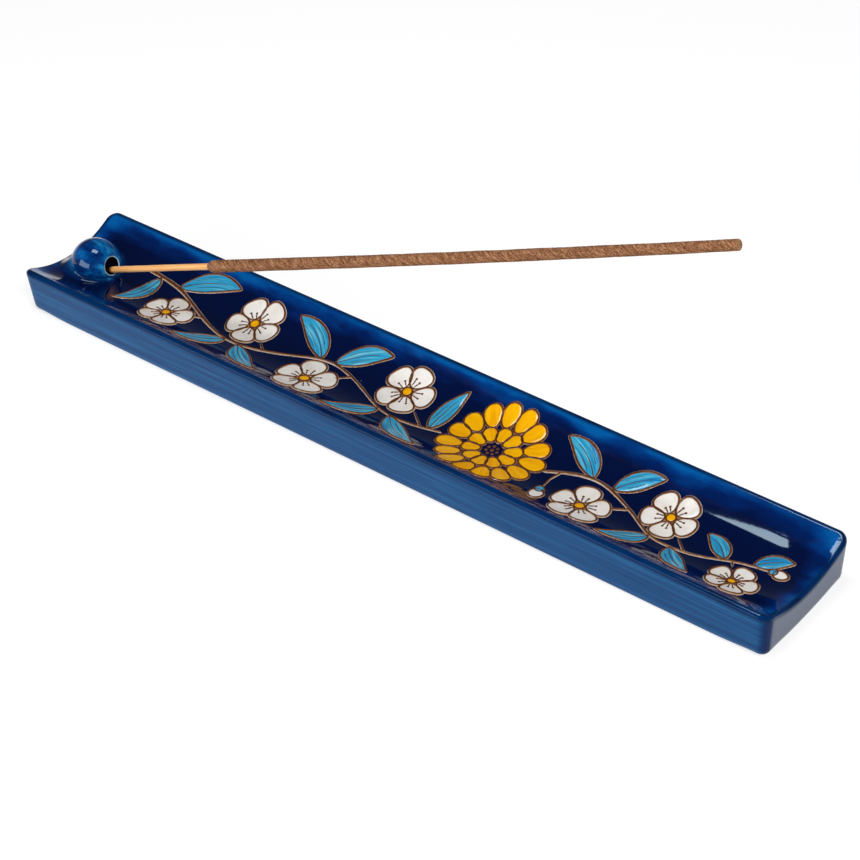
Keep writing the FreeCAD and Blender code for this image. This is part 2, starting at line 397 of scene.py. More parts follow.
def ball_blank(name, radius):
    """A ball with a flat foot, as a closed mesh, turned so that its points miss the tray's middle line."""
    shape = bmesh.new()
    bmesh.ops.create_uvsphere(shape, u_segments=SEAT_STEPS, v_segments=SEAT_STEPS // 2, radius=radius,
                              matrix=Matrix.Rotation(SEAT_TURN, 4, "Z"))
    points = np.array([v.co for v in shape.verts]) + ball_centre
    points[:, 2] = np.maximum(points[:, 2], ball_foot)
    faces = [[v.index for v in face.verts] for face in shape.faces]
    shape.free()
    return mesh_piece(name, points, faces)


def build_tray():
    """The tray's rings, closed by two grids, with the ball's pocket cut out."""
    points = np.concatenate(rings)
    faces = []
    for ring in range(len(rings) - 1):
        faces += bridge(ring_count, ring * ring_count, (ring + 1) * ring_count)
    inner, inner_faces = filled(rings[-1], len(points) - ring_count, len(points),
                                lambda plan: channel_height(plan[:, 0], plan[:, 1]))
    points = np.concatenate([points, inner])
    under, under_faces = filled(rings[0], 0, len(points), lambda plan: np.full(len(plan), FOOT_RECESS))
    points = np.concatenate([points, under])
    piece = mesh_piece("glazed_tray", points, faces + inner_faces + under_faces)
    cutter = ball_blank("pocket_cutter", BALL_RADIUS + SEAT_GAP)
    cut = piece.modifiers.new("pocket", "BOOLEAN")
    cut.object = cutter
    cut.operation = "DIFFERENCE"
    cut.solver = "EXACT"
    bpy.context.view_layer.update()
    mesh = bpy.data.meshes.new_from_object(piece.evaluated_get(bpy.context.evaluated_depsgraph_get()))
    piece.modifiers.clear()
    piece.data = mesh
    mesh.name = "glazed_tray"
    bpy.data.objects.remove(cutter)
    return piece


tray = build_tray()
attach(tray, "tray")
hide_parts("tray")
print("tray points", len(tray.data.vertices))

# %% [markdown]
# Values that the tray's glaze reads
#
# A glossy cobalt glaze is pale where it is thin and nearly black where it pools. The depth below the rim says
# how thick it lies. More of it gathers round the ball, and the extra depth there also stands for painted
# shade beside the ball. It is thinner on the two lips, where it runs off. The outer walls, the crest and the
# two ends get masks too, and the crest and the ends carry painted shade. They could be painted by hand, but a
# rule in
# millimetres follows any change of shape: each pair of numbers says where a mask starts and where it is full.

# %% Measure the tray's points
co = points_of(tray)
height = co[:, 2]
corner = np.abs(co[:, :2]) - [half_length - CORNER_RADIUS, half_width - CORNER_RADIUS]
inward = CORNER_RADIUS - np.linalg.norm(np.maximum(corner, 0), axis=1) - np.minimum(corner.max(axis=1), 0)
facing = np.zeros(len(co) * 3, np.float32)
tray.data.vertex_normals.foreach_get("vector", facing)
upward = facing.reshape(-1, 3)[:, 2]
from_ball = np.linalg.norm(co[:, :2] - ball_centre[:2], axis=1)
from_end = half_length - np.abs(co[:, 0])
print("deepest point lies", round(float(inward.max()), 2), "inside the rim line")

# %% Paint the tray's masks
CHANNEL_INSIDE = (0.9, 2.4)
CHANNEL_HEIGHTS = (4, 6)
FACING_UP = (0.1, 0.6)
BALL_POOL_AND_SHADE = 0.45
BALL_POOL_AND_SHADE_REACH = 9.5
LIP_THIN = 0.7
LIP_THIN_RUN = (1.0, 11.0)
THICKEST = 1.3
CREST_HEIGHTS = (0, 1)
CREST_TURN = (-0.06, 0.06)
CREST_INSIDE = (1.3, 2.3)
END_START = 2.8
END_FULL = 0.8

faces_up = eased(upward, *FACING_UP)
in_channel = eased(inward, *CHANNEL_INSIDE) * eased(height, *CHANNEL_HEIGHTS) * faces_up
# Extra depth round the ball: partly glaze pooled at the ball, partly painted shade beside it.
pool_and_shade_by_ball = BALL_POOL_AND_SHADE * np.exp(-(from_ball / BALL_POOL_AND_SHADE_REACH) ** 4)
lip_share = 1 - LIP_THIN * (1 - eased(from_end, *LIP_THIN_RUN))
depth = (TRAY_HEIGHT - height) / CHANNEL_DEPTH * lip_share
on_crest = eased(height, *CREST_HEIGHTS) * eased(upward, *CREST_TURN) * (1 - eased(inward, *CREST_INSIDE))
out_along = np.abs(co[:, 0]) + wall_inset(height)
paint(tray, "pool", in_channel * np.clip(depth + pool_and_shade_by_ball, 0, THICKEST))
paint(tray, "outside", 1 - faces_up)
paint(tray, "crest", on_crest)
paint(tray, "end", eased(out_along, half_length - END_START, half_length - END_FULL))
print("masks", [layer.name for layer in tray.data.attributes if layer.data_type == "FLOAT"])

# %% Choose each face's finish
BARE_CLAY_HEIGHT = 0.02
WALL_DEPTH = 0.5
LONG_SIDE = 0.3
GLAZE, CLAY, WALL = 0, 1, 2


def finish_of(face):
    """Which of the tray's finishes a face gets: glossy glaze, bare clay or brushed long wall."""
    corners = list(face.vertices)
    if height[corners].max() < BARE_CLAY_HEIGHT:
        return CLAY
    on_wall = abs(face.normal.y) > LONG_SIDE and inward[corners].max() < WALL_DRAFT + WALL_DEPTH
    return WALL if on_wall else GLAZE


face_finish = [finish_of(face) for face in tray.data.polygons]
print("foot faces", face_finish.count(CLAY), "wall faces", face_finish.count(WALL))

# %% [markdown]
# The ball that holds the stick
#
# The ball is rolled from clay, bored at a slope and stuck down before glazing. A plain sphere with a boolean
# hole would leave a hard, uneven edge, so its rows run from the mouth backwards: each starts on the round
# lip, passes over the ball to its back, and other rows go in through the mouth to the narrow socket.

# %% Lines of the stick and the mouth
STICK_TILT = 23.2
CORE_RADIUS = 0.93
MOUTH_RADIUS = 2.45
MOUTH_DROP = 1.18
MOUTH_CLEARANCE = 0.28
ROUND_STEPS = 96

tilt = math.radians(STICK_TILT)
along_stick = np.array([math.cos(tilt), 0, math.sin(tilt)])
below_stick = np.array([math.sin(tilt), 0, -math.cos(tilt)])
across_stick = np.array([0, 1.0, 0])
stick_drop = MOUTH_DROP + MOUTH_RADIUS - CORE_RADIUS - MOUTH_CLEARANCE
stick_foot = ball_centre + below_stick * stick_drop
round_angle = np.arange(ROUND_STEPS) / ROUND_STEPS * 2 * math.pi
spokes = np.cos(round_angle)[:, None] * below_stick + np.sin(round_angle)[:, None] * across_stick
mouth_axis = ball_centre + below_stick * MOUTH_DROP


def mouth_ring(radius, depth):
    """A ring about the mouth's axis at this distance up the axis from the ball's middle."""
    return mouth_axis + spokes * radius + np.broadcast_to(depth, ROUND_STEPS)[:, None] * along_stick


def on_ball(radius):
    """How far up the mouth's axis a ring of this radius meets the ball."""
    away = np.linalg.norm(below_stick * MOUTH_DROP + spokes * radius, axis=1)
    return np.sqrt(BALL_RADIUS ** 2 - away ** 2)


print("stick's foot", stick_foot.round(2))

# %% Build the ball from its mouth
MOUTH_DEPTH = 4.4
MOUTH_LIP = 0.4
LIP_REACH = 1.6
MOUTH_ROWS = (0.25, 0.5, 0.75, 0.94)
MOUTH_FLOOR = 0.94
SOCKET_CLEARANCE = 0.08
OVER_STEPS = 56
LIP_STEPS = 8
LIP_LINE_OUT = 0.14
LIP_LINE_WIDTH = 0.14
LIP_SKIN = (0.05, 0.45)
HOLE_SKIN = (0.2, 0.5)
HOLE_EDGE = 0.02

mouth_bottom = math.sqrt(BALL_RADIUS ** 2 - MOUTH_DROP ** 2) - MOUTH_DEPTH


def ball_rows():
    """Rows from the back of the ball over its lip, through the mouth and down to the socket's end."""
    rows = []
    start = mouth_ring(MOUTH_RADIUS + MOUTH_LIP, on_ball(MOUTH_RADIUS + MOUTH_LIP)) - ball_centre
    back = -along_stick
    angle = np.arccos(np.clip(start @ back / BALL_RADIUS, -1, 1))
    for step in range(OVER_STEPS - 1, -1, -1):
        share = step / OVER_STEPS
        arc = (np.sin((1 - share) * angle) / np.sin(angle))[:, None] * start
        arc = arc + (np.sin(share * angle) / np.sin(angle) * BALL_RADIUS)[:, None] * back
        rows.append(ball_centre + arc)
    corner = mouth_ring(MOUTH_RADIUS, on_ball(MOUTH_RADIUS))
    inner = mouth_ring(MOUTH_RADIUS, on_ball(MOUTH_RADIUS) - MOUTH_LIP * LIP_REACH)
    outer = rows[-1]
    for step in range(1, LIP_STEPS + 1):
        rows.append(curve_point(outer, corner, inner, step / LIP_STEPS))
    deep = mouth_ring(MOUTH_RADIUS, mouth_bottom)
    for share in MOUTH_ROWS:
        rows.append(inner + (deep - inner) * share)
    floor_rim = mouth_ring(MOUTH_RADIUS * MOUTH_FLOOR, mouth_bottom)
    socket = spokes * (CORE_RADIUS + SOCKET_CLEARANCE)
    socket_mouth = floor_rim.mean(axis=0) + below_stick * (stick_drop - MOUTH_DROP) + socket
    socket_end = stick_foot - along_stick * SOCKET_CLEARANCE + socket
    rows += [floor_rim, (floor_rim + socket_mouth) / 2, socket_mouth]
    rows += [(socket_mouth + socket_end) / 2, socket_end]
    return rows


def build_ball():
    """The holder ball, with masks for the pale line on its lip and for the painted shade in its hole."""
    rows = ball_rows()
    points, faces = capped_tube(rows, ball_centre - along_stick * BALL_RADIUS, rows[-1].mean(axis=0))
    points[:, 2] = np.maximum(points[:, 2], ball_foot)
    piece = mesh_piece("holder_ball", points, faces)
    up_axis = (points - mouth_axis) @ along_stick
    off_axis = np.linalg.norm(points - mouth_axis - up_axis[:, None] * along_stick, axis=1)
    under_skin = BALL_RADIUS - np.linalg.norm(points - ball_centre, axis=1)
    front = (up_axis > mouth_bottom) * (1 - eased(under_skin, *LIP_SKIN))
    paint(piece, "lip", front * fading(off_axis - MOUTH_RADIUS - LIP_LINE_OUT, LIP_LINE_WIDTH))
    # The hole mask places painted shade inside the mouth.
    paint(piece, "hole", (off_axis < MOUTH_RADIUS + HOLE_EDGE) * eased(under_skin, *HOLE_SKIN))
    return piece


ball = build_ball()
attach(ball, "tray")
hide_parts("stick_holder_ball")
print("ball points", len(ball.data.vertices))

# %% [markdown]
# The ring of pooled glaze
#
# Where the ball meets the channel, slip and melted glaze draw into a small hollow fillet. Each section is a
# curve that leaves the ball along its surface and runs out flat on the channel. It is lower in front, so that
# it stays under the mouth, and its edge wanders, as a melted edge does. On the side of the near corner it has
# run out further and climbs the ball like a skirt, which the thin upper glaze joins to the ball's own colour.

# %% Find where the ball meets the channel
POOL_ROUND = 120
MEET_LEAST = 5.0
MEET_MARGIN = 0.001

pool_angle = np.arange(POOL_ROUND) / POOL_ROUND * 2 * math.pi
pool_out = np.stack([np.cos(pool_angle), np.sin(pool_angle)], -1)


def ball_is_above(radius):
    """Whether the ball's underside, this far from its upright axis, is above the channel."""
    plan = ball_centre[:2] + pool_out * radius[:, None]
    return ball_centre[2] - np.sqrt(BALL_RADIUS ** 2 - radius ** 2) > channel_height(*plan.T)


meet = halved(np.full(POOL_ROUND, MEET_LEAST), np.full(POOL_ROUND, BALL_RADIUS - MEET_MARGIN), ball_is_above)
meet_rise = -np.arccos(meet / BALL_RADIUS)
print("ball meets the channel", round(float(meet.min()), 2), "to", round(float(meet.max()), 2), "out")

# %% Build the glaze ring
POOL_CLIMB = 0.165
POOL_SPREAD = 1.45
POOL_SINK = 0.14
POOL_CURVE = 9
MOUTH_SHARE = 0.62
MOUTH_HALF_ANGLE = 0.55
RUN_TURN = math.radians(222)
RUN_HALF_ANGLE = 0.75
RUN_SHARE = 1.2
RUN_CLIMB = 2.2
RUN_FILL = 0.75
NEAR_TURN = math.radians(288)
NEAR_HALF_ANGLE = 0.6
NEAR_CLIMB = 1.1
WANDER_SCALE = 1.7
CLIMB_WANDER = (3, 0.25)
SPREAD_WANDER = (9, 0.22)


def wander(seed, amount):
    """A slow closed wave round the ball."""
    spot = np.stack([np.cos(pool_angle), np.sin(pool_angle), np.full_like(pool_angle, seed)], -1)
    return 1 + amount * np.array([noise.noise(Vector(p)) for p in spot * WANDER_SCALE])


def round_ball_at(radius, height):
    """One row of points round the ball's upright axis."""
    return np.column_stack([ball_centre[:2] + pool_out * radius[:, None], height])


def build_glaze_ring():
    """The ring, with a mask for the thin glaze on its upper part."""
    from_mouth = np.minimum(pool_angle, 2 * math.pi - pool_angle)
    under_mouth = 1 - MOUTH_SHARE * fading(from_mouth, MOUTH_HALF_ANGLE)
    run_side = fading(pool_angle - RUN_TURN, RUN_HALF_ANGLE)
    higher = 1 + RUN_CLIMB * run_side + NEAR_CLIMB * fading(pool_angle - NEAR_TURN, NEAR_HALF_ANGLE)
    top_rise = meet_rise + higher * POOL_CLIMB * wander(*CLIMB_WANDER) * under_mouth
    reach = meet + (1 + RUN_SHARE * run_side) * POOL_SPREAD * wander(*SPREAD_WANDER)
    top = round_ball_at(BALL_RADIUS * np.cos(top_rise), ball_centre[2] + BALL_RADIUS * np.sin(top_rise))
    joint = round_ball_at(meet, ball_centre[2] + BALL_RADIUS * np.sin(meet_rise))
    edge_plan = ball_centre[:2] + pool_out * reach[:, None]
    edge = np.column_stack([edge_plan, channel_height(*edge_plan.T)])
    hollow = joint + ((top + edge) / 2 - joint) * (RUN_FILL * run_side)[:, None]
    shares = [step / POOL_CURVE for step in range(POOL_CURVE + 1)]
    rows = [curve_point(top, hollow, edge, share) for share in shares]
    thin = [(1 - share) ** 2 for share in shares]
    rows.append(edge - [0, 0, POOL_SINK])
    rows.append(joint - [0, 0, POOL_SINK] - np.column_stack([pool_out, np.zeros(POOL_ROUND)]) * POOL_SINK)
    rows.append(top + (ball_centre - top) * POOL_SINK / BALL_RADIUS)
    faces = []
    for row in range(len(rows)):
        faces += bridge(POOL_ROUND, row * POOL_ROUND, (row + 1) % len(rows) * POOL_ROUND)
    piece = mesh_piece("pooled_glaze_ring", np.concatenate(rows), faces)
    paint(piece, "thin", np.repeat(thin + [0, 0, 1], POOL_ROUND))
    return piece


glaze_ring = build_glaze_ring()
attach(glaze_ring, "tray")
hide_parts("glaze_fillet")
print("ring points", len(glaze_ring.data.vertices))

# %% [markdown]
# The stick
#
# A bamboo splint is split, not turned, so it is a little square and its fibres stand out as ridges. The
# incense on it is a paste of wood powder, rolled on by hand: lumpy, with a round shoulder and a blunt end.
# Both are tubes of rings along the stick's axis, pushed in and out by smooth noise. Plain cylinders would be
# quicker, but their outlines would be too straight. The line sags slightly, as a thin stick does.

# %% Tubes along the stick
STICK_LENGTH = 228.6
STICK_BOW = 0.6
BOW_START = 12.0
BOW_SKEW = 1.3


def stick_point(station):
    """A point on the stick's middle line, which sags a little between the ball and the tip."""
    share = max(0.0, (station - BOW_START) / (STICK_LENGTH - BOW_START))
    return stick_foot + along_stick * station + below_stick * STICK_BOW * 4 * share ** BOW_SKEW * (1 - share)


def tube_rows(stations, radius_at, count, twist=0.0):
    """Rings along the stick; radius_at gives the radius for a station and an angle, twist turns the grain."""
    angle = np.arange(count) / count * 2 * math.pi
    spoke = np.cos(angle)[:, None] * below_stick + np.sin(angle)[:, None] * across_stick
    rows, grain = [], []
    for station in stations:
        radius = np.array([radius_at(station, a) for a in angle])
        rows.append(stick_point(station) + spoke * radius[:, None])
        wound = angle - twist * station
        grain.append(np.column_stack([np.cos(wound), np.sin(wound), np.full(count, station)]))
    return rows, grain


def tube_piece(name, rows, grain, first_cap, last_cap):
    """A closed tube that carries its grain."""
    piece = mesh_piece(name, *capped_tube(rows, first_cap, last_cap))
    ends = [[0, 0, grain[0][0][2]], [0, 0, grain[-1][0][2]]]
    paint(piece, "grain", np.concatenate(grain + [ends]))
    return piece


print("stick's tip", stick_point(STICK_LENGTH).round(2))

# %% Build the bamboo splint
COATING_LENGTH = 179.3
COATING_CAP = 1.6
CORE_TIP_CHAMFER = 0.3
SPLINT_SQUARE = 0.045
SPLINT_TURN = 0.5
FIBRE_HEIGHT = 0.035
FIBRE_SINK = 0.4
COARSE_FIBRE = (5, 0.05, 0)
FINE_FIBRE = (11, 0.09, 40)
FINE_FIBRE_SHARE = 0.6
SOCKET_ROOM = 0.6
FOOT_ROW = 0.15
SPLINT_STEP = 0.8
SPLINT_ROUND = 40
SHOWN_PAST_PASTE = 2
HIDDEN_FROM = 6
HIDDEN_ROWS = 24

paste_start = STICK_LENGTH - COATING_LENGTH
splint_end = STICK_LENGTH - COATING_CAP


def fibres(angle, station, ridges, rate, place):
    """Smooth noise with about this many ridges round the stick, drawn out along it."""
    return noise.noise(Vector((math.cos(angle) * ridges, math.sin(angle) * ridges, station * rate + place)))


def splint_radius(station, angle):
    square = SPLINT_SQUARE * math.cos(4 * angle + SPLINT_TURN)
    ridge = fibres(angle, station, *COARSE_FIBRE) + FINE_FIBRE_SHARE * fibres(angle, station, *FINE_FIBRE)
    full = CORE_RADIUS * (1 - SPLINT_SQUARE + square) + FIBRE_HEIGHT * ridge - FIBRE_HEIGHT * FIBRE_SINK
    chamfer = max(0.0, CORE_TIP_CHAMFER - station)
    return min(full, CORE_RADIUS + SOCKET_CLEARANCE * SOCKET_ROOM) - chamfer


def build_splint():
    shown = np.arange(CORE_TIP_CHAMFER, paste_start + SHOWN_PAST_PASTE, SPLINT_STEP)
    hidden = np.linspace(paste_start + HIDDEN_FROM, splint_end, HIDDEN_ROWS)
    rows, grain = tube_rows(np.concatenate([[0, FOOT_ROW], shown, hidden]), splint_radius, SPLINT_ROUND)
    return tube_piece("bamboo_splint", rows, grain, stick_foot, stick_point(splint_end))


splint = build_splint()
print("splint points", len(splint.data.vertices))

# %% Build the incense paste
COATING_RADIUS = 1.75
COATING_TIP_RADIUS = 1.38
COATING_END_ROUND = 0.45
SHOULDER_LENGTH = 2.4
SHOULDER_ROWS = 12
SHOULDER_GAP = 0.25
SHOULDER_GRAIN = 2.5
LUMP_HEIGHT = 0.07
LUMP_ACROSS = 0.35
LUMP_ALONG = 0.12
GRAIN_HEIGHT = 0.045
GRAIN_SCALE = 2.1
FINE_GRAIN_SCALE = 4.3
FINE_GRAIN_SHARE = 0.7
PASTE_SKIN = 0.01
PASTE_STEP = 0.42
PASTE_ROUND = 44
PASTE_TWIST = 0.5
PASTE_END_ROWS = 5
BORE_ROWS = 24
CUT_DEPTH = 0.12

round_end_start = STICK_LENGTH - COATING_END_ROUND


def paste_radius(station, angle):
    share = (station - paste_start) / COATING_LENGTH
    full = COATING_RADIUS + (COATING_TIP_RADIUS - COATING_RADIUS) * share - LUMP_HEIGHT
    shoulder = float(np.clip((station - paste_start) / SHOULDER_LENGTH, 0, 1))
    rise = math.sqrt(max(0.0, 1 - (1 - shoulder) ** 2))
    to_end = max(0.0, station - round_end_start) / COATING_END_ROUND
    end_drop = COATING_END_ROUND * (1 - math.sqrt(max(0.0, 1 - to_end ** 2)))
    around = Vector((math.cos(angle) * full, math.sin(angle) * full, station))
    lump = noise.noise(Vector((around.x * LUMP_ACROSS, around.y * LUMP_ACROSS, station * LUMP_ALONG)))
    grain = noise.noise(around * GRAIN_SCALE) + FINE_GRAIN_SHARE * noise.noise(around * FINE_GRAIN_SCALE)
    rough = (LUMP_HEIGHT * lump + GRAIN_HEIGHT * grain) * min(1.0, shoulder * SHOULDER_GRAIN)
    return CORE_RADIUS + PASTE_SKIN + (full - CORE_RADIUS) * rise - end_drop + rough


def build_paste():
    """The paste, with the bore that the splint fills and a mask for its cut end."""
    quarter = math.pi / 2
    shoulder = paste_start + SHOULDER_LENGTH * (1 - np.cos(np.linspace(0, quarter, SHOULDER_ROWS)))
    body = np.arange(paste_start + SHOULDER_LENGTH + SHOULDER_GAP, round_end_start, PASTE_STEP)
    end = round_end_start + COATING_END_ROUND * np.sin(np.linspace(0, quarter, PASTE_END_ROWS))
    rows, grain = tube_rows(np.concatenate([shoulder, body, end]), paste_radius, PASTE_ROUND, PASTE_TWIST)
    bore_stations = np.linspace(paste_start, splint_end, BORE_ROWS)
    bore, bore_grain = tube_rows(bore_stations, lambda station, angle: CORE_RADIUS, PASTE_ROUND)
    piece = tube_piece("incense_paste", bore[::-1] + rows, bore_grain[::-1] + grain,
                       stick_point(splint_end), stick_point(STICK_LENGTH))
    station = (points_of(piece) - stick_foot) @ along_stick
    paint(piece, "cut", eased(station, STICK_LENGTH - CUT_DEPTH, STICK_LENGTH - CUT_DEPTH / 4))
    return piece


paste = build_paste()
for piece, node, slot in ((splint, "bamboo_core", "bamboo"), (paste, "incense_coating", "incense")):
    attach(piece, "stick")
    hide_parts(node)
print("paste points", len(paste.data.vertices))

# %% [markdown]
# Raised slip lines and enamel pads
#
# The design in the channel is tube-lined: the potter trails thin clay slip in raised lines, and each closed
# cell then holds its own pool of coloured enamel. A painted texture would look flat in a low light, so both
# are real meshes. A line is a low ridge with a thin skirt of bare slip, and a pad is a shallow dome. Both are
# laid on the channel formula, so they follow its curve exactly.

# %% Many small shapes in one piece
class Pile:
    """Points, faces and painted values of many small shapes that become one piece."""

    def __init__(self):
        self.points, self.faces, self.values, self.brush = [], [], [], []
        self.count = 0

    def add(self, points, faces, values, brush):
        self.points.append(points)
        self.faces += [tuple(self.count + n for n in face) for face in faces]
        self.values.append(values)
        self.brush.append(brush)
        self.count += len(points)

    def piece(self, name):
        made = mesh_piece(name, np.concatenate(self.points), self.faces)
        paint(made, "across", np.concatenate(self.values))
        paint(made, "brush", np.concatenate(self.brush))
        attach(made, "tray")
        print(name, "points", len(made.data.vertices))
        return made


white_pads, gold_pads, leaf_pads, slip = Pile(), Pile(), Pile(), Pile()
print("piles", len((white_pads, gold_pads, leaf_pads, slip)))

# %% Paths on the plan
LINE_STEP = 0.41
FEWEST_POINTS = 4
LEAST_LENGTH = 1e-9


def run_along(path):
    """How far each point of a path lies from its start."""
    return np.append(0, np.cumsum(np.linalg.norm(np.diff(path, axis=0), axis=1)))


def spaced(path, spots):
    """Points of a path at these distances from its start."""
    return np.column_stack([np.interp(spots, run_along(path), path[:, axis]) for axis in (0, 1)])


def evenly(path, closed):
    """The same path with points at an even distance."""
    path = np.asarray(path, float)
    if closed:
        path = np.vstack([path, path[:1]])
    length = run_along(path)[-1]
    count = max(FEWEST_POINTS, int(length / LINE_STEP))
    return spaced(path, np.linspace(0, length, count, endpoint=not closed))


def side_of(path, closed):
    """Unit plan normals along a path."""
    if closed:
        ahead = np.roll(path, -1, axis=0) - np.roll(path, 1, axis=0)
    else:
        ahead = np.gradient(path, axis=0)
    ahead = ahead / np.maximum(np.linalg.norm(ahead, axis=1, keepdims=True), LEAST_LENGTH)
    return np.column_stack([-ahead[:, 1], ahead[:, 0]])


print("a line has a point every", LINE_STEP, "mm")

# %% Trail a slip line
LINE_SECTION = np.array([-1, -0.86, -0.68, -0.45, -0.2, 0, 0.2, 0.45, 0.68, 0.86, 1])
LINE_BODY = 0.74
LINE_FULLNESS = 0.8
LINE_SKIRT = 0.035
LINE_ROOT = 0.11
ROOT_SIDES = [0.9, -0.9]
EDGE_SINK = 0.02
FULL_LINE = 0.95
THIN_LINE_FADE = 1.3
CLOSED_WAVE = 0.05
OPEN_WAVE = 0.3
WIDTH_WAVE = 0.16
HEIGHT_WAVE = 0.2
LEAST_HALF = 0.1
LEAST_ROUND = 0.02
SEEDS = 50
hand = random.Random(11)


def unevenness(count, closed, seed):
    """A slow wave along a line, which joins up on a closed one."""
    turn = np.arange(count) / count * 2 * math.pi
    if closed:
        circle = np.column_stack([np.cos(turn), np.sin(turn), np.full(count, seed)])
        spots = circle * count * LINE_STEP * CLOSED_WAVE
    else:
        along = np.arange(count) * LINE_STEP * OPEN_WAVE
        spots = np.column_stack([along, np.full(count, seed), np.zeros(count)])
    return np.array([noise.noise(Vector(spot)) for spot in spots])


def trail(pile, path, width, height, closed=False, lift=0.0, taper=1.0):
    """One raised slip line along a plan path, a little uneven, as a hand trails it."""
    path = evenly(path, closed)
    count = len(path)
    side = side_of(path, closed)
    seed = hand.uniform(0, SEEDS)
    uneven = unevenness(count, closed, seed)
    run = np.arange(count) * LINE_STEP
    half = width / 2 * (1 + WIDTH_WAVE * uneven)
    tall = height * (1 + HEIGHT_WAVE * uneven)
    if not closed:
        ends = np.minimum(run, run[::-1])
        half = half * np.interp(np.linspace(0, 1, count), [0, 1], [1, taper])
        from_tip = np.clip(ends / np.maximum(half, LEAST_HALF), 0, 1)
        round_end = np.sqrt(np.clip(1 - (1 - from_tip) ** 2, LEAST_ROUND, 1))
        half, tall = half * round_end, tall * round_end
    across = np.abs(LINE_SECTION)
    body = np.clip(1 - (LINE_SECTION / LINE_BODY) ** 2, 0, None) ** LINE_FULLNESS
    top = LINE_SKIRT * (across < 1) - EDGE_SINK * (across == 1)
    section = np.append(LINE_SECTION, ROOT_SIDES)
    wide = len(section)
    plan = path[:, None] + side[:, None] * (half[:, None] * section)[..., None]
    rise = np.hstack([top + tall[:, None] * body, np.full((count, 2), -LINE_ROOT)]) + lift
    faces = []
    for row in range(count if closed else count - 1):
        faces += bridge(wide, row * wide, (row + 1) % count * wide)
    if not closed:
        faces += [tuple(range(wide)), tuple(range((count - 1) * wide, count * wide))]
    values = np.tile(np.append(across, [1, 1]), count) * min(1, (width / FULL_LINE) ** THIN_LINE_FADE)
    brush = np.column_stack([np.repeat(run, wide), np.tile(section, count), np.full(count * wide, seed)])
    pile.add(on_channel(plan, rise).reshape(-1, 3), faces, values, brush)


print("a line's section has", len(LINE_SECTION), "points above its root")

# %% Pool an enamel pad
PAD_THICKNESS = 0.2
PAD_EDGE = 0.55
PAD_FULLNESS = 0.6
PAD_SECTION = np.array([-1, -0.93, -0.78, -0.5, -0.2, 0.2, 0.5, 0.78, 0.93, 1])


def pad_faces(count, wide):
    """Faces of a slab with an upper and a lower sheet of this many rows and columns."""
    base = count * wide
    faces = []
    for row in range(count - 1):
        for column in range(wide - 1):
            a = row * wide + column
            quad = (a, a + 1, a + wide + 1, a + wide)
            faces += [quad, tuple(base + n for n in reversed(quad))]
        for column in (0, wide - 1):
            a = row * wide + column
            faces.append((a, a + wide, base + a + wide, base + a))
    for row in (0, count - 1):
        for column in range(wide - 1):
            a = row * wide + column
            faces.append((a, a + 1, base + a + 1, base + a))
    return faces


def pad(pile, spine, half, lift=0.0, thickness=PAD_THICKNESS, edge_share=1.0):
    """One domed pool of enamel about a spine, with its half width at each spine point."""
    count, wide = len(spine), len(PAD_SECTION)
    across = half[:, None] * PAD_SECTION
    plan = spine[:, None] + side_of(spine, False)[:, None] * across[..., None]
    run = run_along(spine)
    to_tip = np.minimum(run, run[::-1])[:, None]
    to_edge = np.minimum((1 - np.abs(PAD_SECTION)) * half[:, None], to_tip)
    dome = thickness * np.clip(to_edge / PAD_EDGE, 0, 1) ** PAD_FULLNESS - EDGE_SINK
    upper = on_channel(plan, dome + lift)
    lower = on_channel(plan, np.full(dome.shape, -LINE_ROOT) + lift)
    points = np.concatenate([upper.reshape(-1, 3), lower.reshape(-1, 3)])
    edge = edge_share * np.clip(1 - to_edge / (2 * PAD_EDGE), 0, 1).ravel()
    seed = hand.uniform(0, SEEDS)
    brush = np.column_stack([np.repeat(run, wide), across.ravel(), np.full(count * wide, seed)])
    pile.add(points, pad_faces(count, wide), np.tile(edge, 2), np.tile(brush, (2, 1)))


def border(spine, half):
    """The closed outline of a pad."""
    side = side_of(spine, False) * half[:, None]
    return np.vstack([spine + side, (spine - side)[::-1][1:-1]])


def enamel_cell(pile, spine, half, line, pad_lift=0.0, line_lift=0.0):
    """One pad of enamel inside its closed slip line, whose width and height are given."""
    pad(pile, spine, half, pad_lift)
    trail(slip, border(spine, half), *line, closed=True, lift=line_lift)


print("a pad is", PAD_THICKNESS, "mm thick")

# %% [markdown]
# Petals, leaves and sprays
#
# The design is a plain spray of blossom with one large golden flower head, a motif that is common to many
# potteries. Each petal is an egg about its own spine, and each leaf tapers along a bent spine. A drawn curve
# for each would also work, but two formulas keep all of them of one family. Line sizes are a width and a
# height, and shares are of a flower's radius or a leaf's length.

# %% Eggs, beads and bent spines
PETAL_STATIONS = 15
TIP_HALF = 0.02
BEAD_HEIGHT = 0.3
BEAD_EDGE = 0.4


def outward(turn):
    """A unit plan vector at this turn."""
    return np.array([math.cos(turn), math.sin(turn)])


def egg(centre, turn, start, end, width, fullness=0.3):
    """Spine and half widths of a petal that runs outward from a flower's middle."""
    sweep = np.linspace(0, math.pi, PETAL_STATIONS)
    away = (start + end) / 2 - (end - start) / 2 * np.cos(sweep)
    half = width / 2 * np.sin(sweep) * (1 - fullness * np.cos(sweep))
    half[[0, -1]] = TIP_HALF
    return np.asarray(centre) + away[:, None] * outward(turn), half


def bent(start, end, bow, stations):
    """A smooth arc between two plan points, bowed to its left."""
    start, end = np.asarray(start, float), np.asarray(end, float)
    ahead = end - start
    share = np.linspace(0, 1, stations)[:, None]
    return start + ahead * share + np.array([-ahead[1], ahead[0]]) * bow * 4 * share * (1 - share)


def bead(centre, radius, lift=0.0):
    """One small bead of slip."""
    spine, half = egg(centre, 0, -radius, radius, radius * 2, 0)
    pad(slip, spine, half, lift, BEAD_HEIGHT, edge_share=BEAD_EDGE)


print("a petal has", PETAL_STATIONS, "stations")

